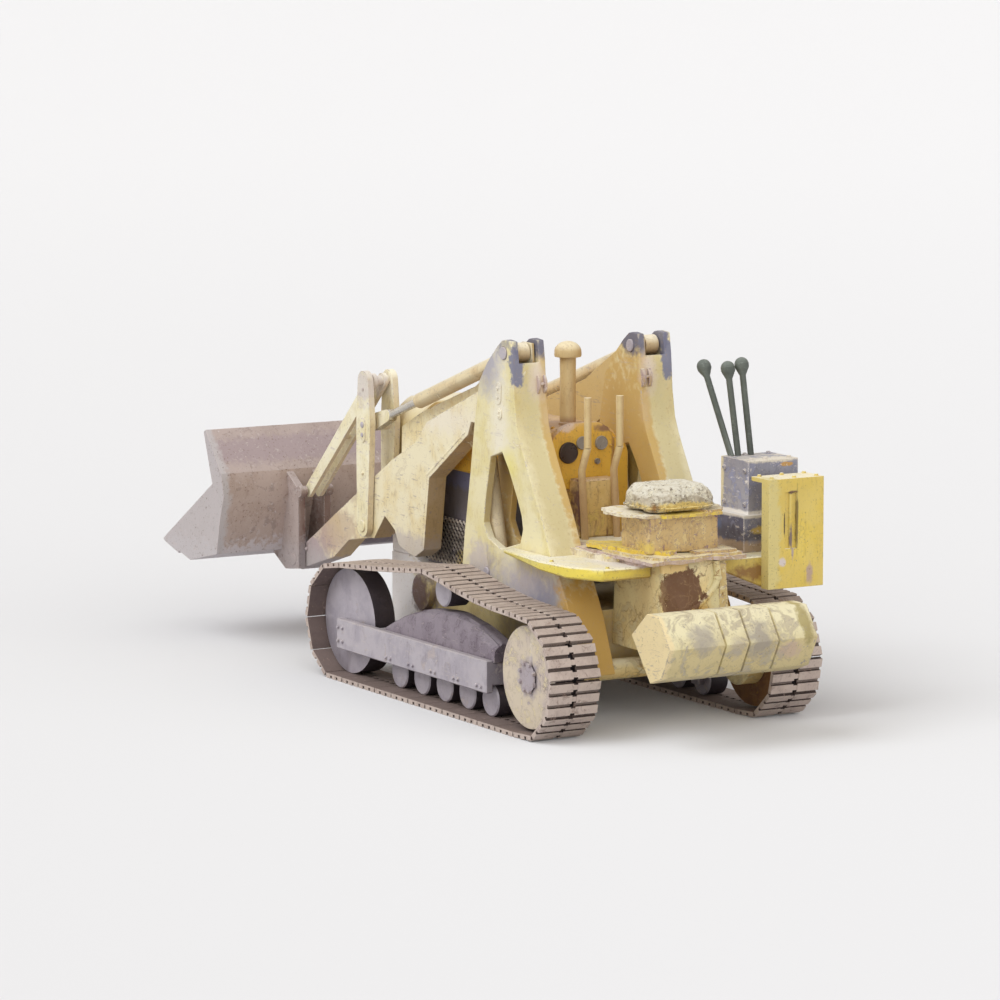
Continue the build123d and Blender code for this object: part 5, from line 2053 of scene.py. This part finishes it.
@dataclass
class OperatorPlace:
    """Dash, levers, seat and stack."""

    shop: Workshop
    cushion_low: Point3 = (-0.3, -0.215, 1.172)
    cushion_high: Point3 = (0.05, 0.215, 1.305)

    def build(self) -> None:
        """Make the operator's place."""
        for node, finish, chamfer in (
            ("dashboard", DASH_ENAMEL, 0.008),
            ("console", CONSOLE_ENAMEL, 0.01),
            ("steering_levers", LEVER_ENAMEL, 0.004),
        ):
            self.shop.refine(node, finish, chamfer)
        self._gauges()
        self._stack()
        self._boards()
        self._cushion()
        screws = [at(0.3, y, z) for y, z in ((-0.14, 1.22), (0.2, 1.22), (-0.14, 1.4), (0.21, 1.4))]
        self.shop.studs("dash_screws", "dashboard", screws, FORWARD, DASH_ENAMEL, 0.013)

    def _gauges(self) -> None:
        """Four instruments: dished faces in rolled bezels."""
        rows = (
            (0.125, 1.378, 0.058, DIAL_BLACK),
            (0.039, 1.426, 0.036, DIAL_GREY),
            (-0.08, 1.42, 0.038, DIAL_GREY),
            (-0.055, 1.322, 0.016, DIAL_GREY),
        )
        bezel = ((-0.002, 1), (0.008, 1), (0.011, 0.97), (0.012, 0.92), (0.009, 0.88))
        for number, (side, height, radius, finish) in enumerate(rows):
            profile = [*((rise, radius * share) for rise, share in bezel), (0.0085, 0.004)]
            dial = Shape().turned(at(0.7, side, height), -FORWARD, profile, 48)
            stands_for = ("gauges",) if number == 0 else ()
            self.shop.fit(dial.piece(f"gauge_{number}", 50), "chassis", finish, *stands_for)

    def _stack(self) -> None:
        """Intake pipe with a round pre-cleaner cap and its collar."""
        foot = at(0.915, 0.0, 1.5)
        tube = [(0, 0.05), (0.012, 0.05), (0.016, 0.044), (0.28, 0.043), (0.37, 0.0445), (0.385, 0.0445)]
        stack = Shape().turned(foot, UP, tube, 40)
        dome = [(0.376, 0.05), (0.368, 0.064), (0.37, 0.072), (0.378, 0.0738), (0.396, 0.0735)]
        for i in range(1, 9):
            angle = math.pi / 2 * i / 9
            dome.append((0.396 + 0.058 * math.sin(angle), 0.0735 * math.cos(angle)))
        stack.turned(foot, UP, [*dome, (0.4545, 0.002)], 40)
        self.shop.fit(stack.piece("air_stack_capped", 40), "chassis", LEVER_ENAMEL, "air_stack")

    def _boards(self) -> None:
        """The seat's stand: a box of boards between layers of splintered sheet and plank."""
        box = Shape().box(at(-0.28, -0.205, 0.96), at(0.0, 0.215, 1.152))
        box.roughen(0.006, 0.07, 0.03, 4.0)
        box.chamfer(0.004, 50)
        self.shop.fit(box.piece("seat_box", 40), "chassis", BOARD_TAN, "seat_frame")
        for number, board in enumerate(SEAT_BOARDS):
            shape = ragged(in_row_frame(board.outline), board.low, board.high, number * 7.3)
            self.shop.fit(shape.piece(board.name, 40), "chassis", board.finish)

    def _cushion(self) -> None:
        """Crowned cushion with a split cover, sagged by use."""
        low, high = at(*self.cushion_low), at(*self.cushion_high)
        middle = (low + high) / 2
        half = (high - low) / 2
        rings = []
        sides = ((0.0, 0.93), (0.05, 0.99), (0.2, 1.0), (0.42, 0.98), (0.62, 0.93))
        crown = ((0.82, 0.85), (0.93, 0.76), (0.98, 0.6), (0.995, 0.3))
        around = 56
        for rise, share in (*sides, *crown):
            ring = []
            for i in range(around):
                x, y = cushion_edge(half.x * share, half.y * share, math.tau * i / around)
                ring.append(Vector((middle.x + x, middle.y + y, low.z + 2 * half.z * rise)))
            rings.append(ring)
        cushion = Shape().loft(rings).piece("seat_cushion_torn", 60)
        inflate(cushion, 0.0055, 0.022)
        crumple(cushion, low, high)
        self.shop.fit(cushion, "chassis", SEAT_VINYL, "seat_cushion")
        self._seams(middle, half, low.z)

    def _seams(self, middle: Vector, half: Vector, foot: float) -> None:
        """What is left of the piping, and the flaps where the cover has split.

        Args:
            middle: The cushion's middle.
            half: Half of its length, width and height.
            foot: The height of its underside.
        """
        path = []
        around, left_over = 72, 66
        for i in range(around):
            x, y = cushion_edge(half.x - 0.002, half.y - 0.002, math.tau * i / around)
            rise = foot + 0.024 + 0.003 * ripple(x * 20, y * 20, 1)
            path.append(Vector((middle.x + x, middle.y + y, rise)))
        piping = Shape().pipe(path[:left_over], 0.0042, 8)
        self.shop.fit(piping.piece("seat_cushion_piping", 60), "chassis", SEAT_VINYL)
        flaps = Shape()
        spread = random.Random(11)
        for _ in range(26):
            share = spread.uniform(0.35, 0.86)
            angle = spread.uniform(0, math.tau)
            x, y = half.x * share * math.cos(angle), half.y * share * math.sin(angle)
            z = foot + 2 * half.z * (1.0 - 0.3 * share**3) - 0.012
            spot = Vector((middle.x + x, middle.y + y, z))
            size = spread.uniform(0.012, 0.03)
            tilt = Matrix.Rotation(spread.uniform(-0.4, 0.4), 3, "X")
            tilt = tilt @ Matrix.Rotation(spread.uniform(-0.5, 0.1), 3, "Y")
            rim = []
            for k in range(7):
                turn = math.tau * k / 7
                reach = size * spread.uniform(0.6, 1.2)
                rim.append(Vector((reach * math.cos(turn), reach * math.sin(turn), 0)))
            flaps.loft([[spot + tilt @ (p + Vector((0, 0, dz))) for p in rim] for dz in (0.0, 0.0035)])
        self.shop.fit(flaps.piece("seat_cover_flakes", 20), "chassis", BOARD_WHITE)


def cushion_edge(half_x: float, half_y: float, angle: float) -> Point2:
    """A point of a square outline with round corners and slightly hollow sides.

    Args:
        half_x: Half of its length.
        half_y: Half of its width.
        angle: Where on it, in radians.

    Returns:
        The point, measured from the middle.
    """
    c, s = math.cos(angle), math.sin(angle)
    x = half_x * math.copysign(abs(c) ** 0.42, c) * (1 - 0.03 * s * s)
    y = half_y * math.copysign(abs(s) ** 0.42, s) * (1 - 0.03 * c * c)
    return x, y


def inflate(piece: bpy.types.Object, voxel: float, cap: float) -> None:
    """Blow a closed form up as cloth under light pressure, and settle it.

    Args:
        piece: The closed mesh; it keeps its name and place.
        voxel: Size of the remesh that the cloth is made of, in metres.
        cap: The furthest that any point may move, in metres.
    """
    remesh = piece.modifiers.new("cells", "REMESH")
    remesh.mode = "VOXEL"
    remesh.voxel_size = voxel
    freeze(piece)
    before = [v.co.copy() for v in piece.data.vertices]
    cloth = piece.modifiers.new("cloth", "CLOTH")
    cloth.settings.use_pressure = True
    cloth.settings.uniform_pressure_force = 4.0
    cloth.settings.effector_weights.gravity = 0.0
    cloth.settings.tension_stiffness = 12.0
    cloth.settings.bending_stiffness = 0.4
    scene = bpy.context.scene
    for frame in range(1, 21):
        scene.frame_set(frame)
    freeze(piece)
    scene.frame_set(1)
    for vert, start in zip(piece.data.vertices, before):
        moved = vert.co - start
        if moved.length > cap:
            vert.co = start + moved.normalized() * cap


def freeze(piece: bpy.types.Object) -> None:
    """Put the result of an object's modifiers into its mesh.

    Args:
        piece: The object; it has no modifiers afterwards.
    """
    evaluated = piece.evaluated_get(bpy.context.evaluated_depsgraph_get())
    data = bpy.data.meshes.new_from_object(evaluated)
    piece.modifiers.clear()
    piece.data = data
    data.shade_smooth()


def crumple(piece: bpy.types.Object, low: Vector, high: Vector) -> None:
    """Wrinkle and sag a cushion within its own box, flat where it rests.

    Args:
        piece: The cushion.
        low: The box's lower corner.
        high: The box's upper corner.
    """
    span = high - low
    for vert in piece.data.vertices:
        rise = min(1.0, max(0.0, (vert.co.z - low.z) / span.z))
        rear = min(1.0, max(0.0, (low.x + 0.16 - vert.co.x) / 0.12))
        folds = noise.noise_vector(vert.co * 24.0) * 0.007
        creases = noise.noise_vector(vert.co * 75.0) * (0.001 + 0.0035 * rear)
        vert.co += (folds + creases) * min(1.0, rise * 3.0)
        for axis in range(3):
            margin = 0.004 if axis < 2 else 0.0
            vert.co[axis] = min(high[axis] + margin, max(low[axis] - margin, vert.co[axis]))


def ragged(outline: list[Point2], low: float, high: float, seed: float) -> Shape:
    """Warped board with splintered edges.

    Args:
        outline: The board's corners as (x, y) in the row frame.
        low: Height of its lower face.
        high: Height of its upper face.
        seed: Where in the noise its splinters are taken.

    Returns:
        The board.
    """
    bite, pitch = 0.016, 0.014  # how deep the splinters go, and how far apart the edge's points are
    points = []
    for (x0, y0), (x1, y1) in zip(outline, outline[1:] + outline[:1]):
        length = math.dist((x0, y0), (x1, y1))
        steps = max(1, round(length / pitch))
        nx, ny = (y1 - y0) / length, (x0 - x1) / length
        for i in range(steps):
            x, y = x0 + (x1 - x0) * i / steps, y0 + (y1 - y0) * i / steps
            depth = ripple(x * 9, y * 9, seed) + 0.7 * ripple(x * 60, y * 60, seed)
            points.append((x + nx * bite * depth, y + ny * bite * depth))
    board = Shape().slab(points, low, high)
    board.divide(0.03)
    middle = (low + high) / 2
    for vert in board.mesh.verts:
        thick = 1.0 + 0.5 * ripple(vert.co.x * 14, vert.co.y * 14, seed)
        bend = 0.004 * ripple(vert.co.x * 5, vert.co.y * 5, seed + 3)
        vert.co.z = middle + (vert.co.z - middle) * thick + bend
    return board


def smooth_path(points: list[Vector]) -> list[Vector]:
    """A smooth line through points.

    Args:
        points: What it goes through, from end to end.

    Returns:
        The line's own, closer points.
    """
    steps = 8
    ends = [points[0] * 2 - points[1], *points, points[-1] * 2 - points[-2]]
    path = []
    for a, b, c, d in zip(ends, ends[1:], ends[2:], ends[3:]):
        for i in range(steps):
            t = i / steps
            square, cube = 2 * a - 5 * b + 4 * c - d, 3 * b - a - 3 * c + d
            path.append(0.5 * (2 * b + (c - a) * t + square * t * t + cube * t**3))
    return [*path, points[-1]]


@dataclass
class Hydraulics:
    """Tank, valves and their levers."""

    shop: Workshop
    lever_feet: tuple[Point3, ...] = ((0.1, -0.535, 1.365), (0.1, -0.575, 1.365), (0.1, -0.655, 1.365))
    lever_tips: tuple[Point3, ...] = ((0.37, -0.52, 1.85), (0.18, -0.553, 1.858), (0.18, -0.64, 1.874))

    def build(self) -> None:
        """Make the hydraulic pieces on the right side."""
        self.shop.refine("hydraulic_tank", TANK_ENAMEL, 0.008)
        self.shop.refine("valve_block", VALVE_ENAMEL, 0.008)
        self.shop.refine("valve_levers", LEVER_ZINC, 0.003)
        self._knobs()
        lid = [at(x, y, 1.6) for x in (-0.325, -0.205) for y in (-0.79, -0.65, -0.51)]
        top = [at(x, y, 1.6) for x in (-0.09, 0.11) for y in (-0.77, -0.62, -0.53)]
        face = [at(x, 0.0, z) for x in (-0.09, 0.11) for z in (1.15, 1.33)]
        self.shop.studs("tank_lid_bolts", "hydraulic_tank", lid, DOWN, TANK_ENAMEL, 0.018)
        self.shop.studs("valve_bolts", "valve_block", top, DOWN, VALVE_ENAMEL, 0.02)
        toward = Vector((0, -1, 0))
        self.shop.studs("valve_face_bolts", "valve_block", face, toward, VALVE_ENAMEL, 0.02)

    def _knobs(self) -> None:
        """Round grips, moulded over the flared ends of the valve levers."""
        knobs = Shape()
        for foot, tip in zip(self.lever_feet, self.lever_tips):
            end = at(*tip)
            axis = (end - at(*foot)).normalized()
            profile = []
            for i in range(13):
                angle = math.pi * (0.02 + 0.96 * i / 12)
                profile.append((-0.034 * math.cos(angle), 0.037 * math.sin(angle)))
            knobs.turned(end - axis * 0.006, axis, profile, 28)
        self.shop.fit(knobs.piece("valve_lever_grips", 60), "chassis", LEVER_ZINC)


@dataclass
class Loader:
    """Arms, tilt linkage, cylinders and bucket."""

    shop: Workshop
    rod_eye_from: float = 2.25
    pad_centre: Point2 = (2.338, 1.345)
    pad_sides: Point2 = (0.486, 0.4945)
    weld_corners: tuple[Point2, ...] = ((1.72, 0.75), (1.66, 1.145), (1.23, 1.432))
    weld_pitch: float = 0.011
    weld_offset: float = 0.02

    def build(self) -> None:
        """Make everything that moves."""
        for node, finish, chamfer in (
            ("lift_arm_left", ARM_ENAMEL, 0.005),
            ("lift_arm_right", ARM_ENAMEL, 0.005),
            ("arm_cross_tube", FRAME_STEEL, 0.004),
            ("lever_pins", LINK_ENAMEL, 0.004),
            ("tilt_lever_left", LINK_ENAMEL, 0.004),
            ("tilt_lever_right", LINK_ENAMEL, 0.004),
            ("tilt_links", LINK_ENAMEL, 0.003),
            ("tilt_barrels", BARREL_ENAMEL, 0.009),
            ("lift_barrels", BARREL_ENAMEL, 0.009),
            ("lift_rods", ROD_CHROME, 0.002),
            ("bucket_shell", BUCKET_STEEL, 0.004),
            ("bucket_brackets", BRACKET_STEEL, 0.006),
            ("bucket_pins", BRACKET_STEEL, 0.004),
        ):
            self.shop.refine(node, finish, chamfer)
        rods = self.shop.refine("tilt_rods", ROD_CHROME, 0.002)
        eye_from = at(self.rod_eye_from, 0.0, 0.0).x
        two_tone(rods, LINK_ENAMEL, lambda polygon: polygon.center.x > eye_from)
        self._lever_pads()
        self._arm_details()
        self._bucket_details()

    def _lever_pads(self) -> None:
        """Oval wear pads on the levers' outer sides, each with two pin heads."""
        pads = Shape()
        pads.prism(in_row_frame(oval(self.pad_centre, 0.07, 0.027, 0.01)), *self.pad_sides)
        pads.both().chamfer(0.0025)
        self.shop.fit(pads.piece("lever_pads"), "tilt_levers", LINK_ENAMEL)
        for side in Side:
            heads = Shape()
            for z, radius in ((1.375, 0.017), (1.318, 0.013)):
                profile = [(0, radius), (0.006, radius), (0.008, radius * 0.8)]
                heads.turned(at(self.pad_centre[0], side * 0.492, z), Vector((0, side, 0)), profile, 20)
            self.shop.fit(heads.piece(f"lever_pad_pins_{side.label}"), "tilt_levers", FRAME_STEEL)

    def _arm_details(self) -> None:
        """Pin retainers at the ends of the arms and levers, and the arms' weld beads."""
        toes = ((3.1, 0.57), (3.17, 0.585), (3.24, 0.49))
        lever = ((2.34, 1.575), (2.345, 1.1))
        for side in Side:
            for name, node, places, finish, across in (
                ("arm_pin_bolts", "lift_arm", toes, ARM_ENAMEL, 0.018),
                ("lever_bolts", "tilt_lever", lever, LINK_ENAMEL, 0.016),
            ):
                spots = [at(x, side * OUTSIDE, z) for x, z in places]
                name, node = f"{name}_{side.label}", f"{node}_{side.label}"
                self.shop.studs(name, node, spots, Vector((0, -side, 0)), finish, across)
            self._weld(side)

    def _weld(self, side: Side) -> None:
        """Run a weld bead along an arm's outer side, seated on its plate.

        Args:
            side: The arm's side.
        """
        places = []
        for (x0, z0), (x1, z1) in zip(self.weld_corners, self.weld_corners[1:]):
            steps = round(math.dist((x0, z0), (x1, z1)) / self.weld_pitch)
            for i in range(steps):
                t = i / steps
                x, z = x0 + (x1 - x0) * t + self.weld_offset, z0 + (z1 - z0) * t + self.weld_offset
                places.append(at(x, side * OUTSIDE, z))
        bead = Shape().turned(Vector((0, 0, -0.002)), UP, [(0, 0.008), (0.003, 0.0075), (0.005, 0.004)], 8)
        name, node = f"arm_weld_{side.label}", f"lift_arm_{side.label}"
        self.shop.seat(name, node, places, Vector((0, -side, 0)), bead, ARM_ENAMEL)

    def _bucket_details(self) -> None:
        """Plough bolts of the cutting edge."""
        places = [at(3.93, -0.84 + 0.168 * i, 0.2) for i in range(11)]
        self.shop.studs("cutting_edge_bolts", "bucket_shell", places, UP, BUCKET_STEEL, 0.026, 0.008)


def main() -> None:
    """Load the frame, build the studio and the assemblies, and note the sizes."""
    logging.basicConfig(level=logging.INFO, format="%(message)s")
    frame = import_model()
    noise.seed_set(NOISE_SEED)
    shop = Workshop(frame)
    Studio().build()
    for assembly in (Undercarriage(shop), Chassis(shop), OperatorPlace(shop), Hydraulics(shop), Loader(shop)):
        assembly.build()
        LOG.info("%s done", type(assembly).__name__)


if __name__ == "__main__":
    main()
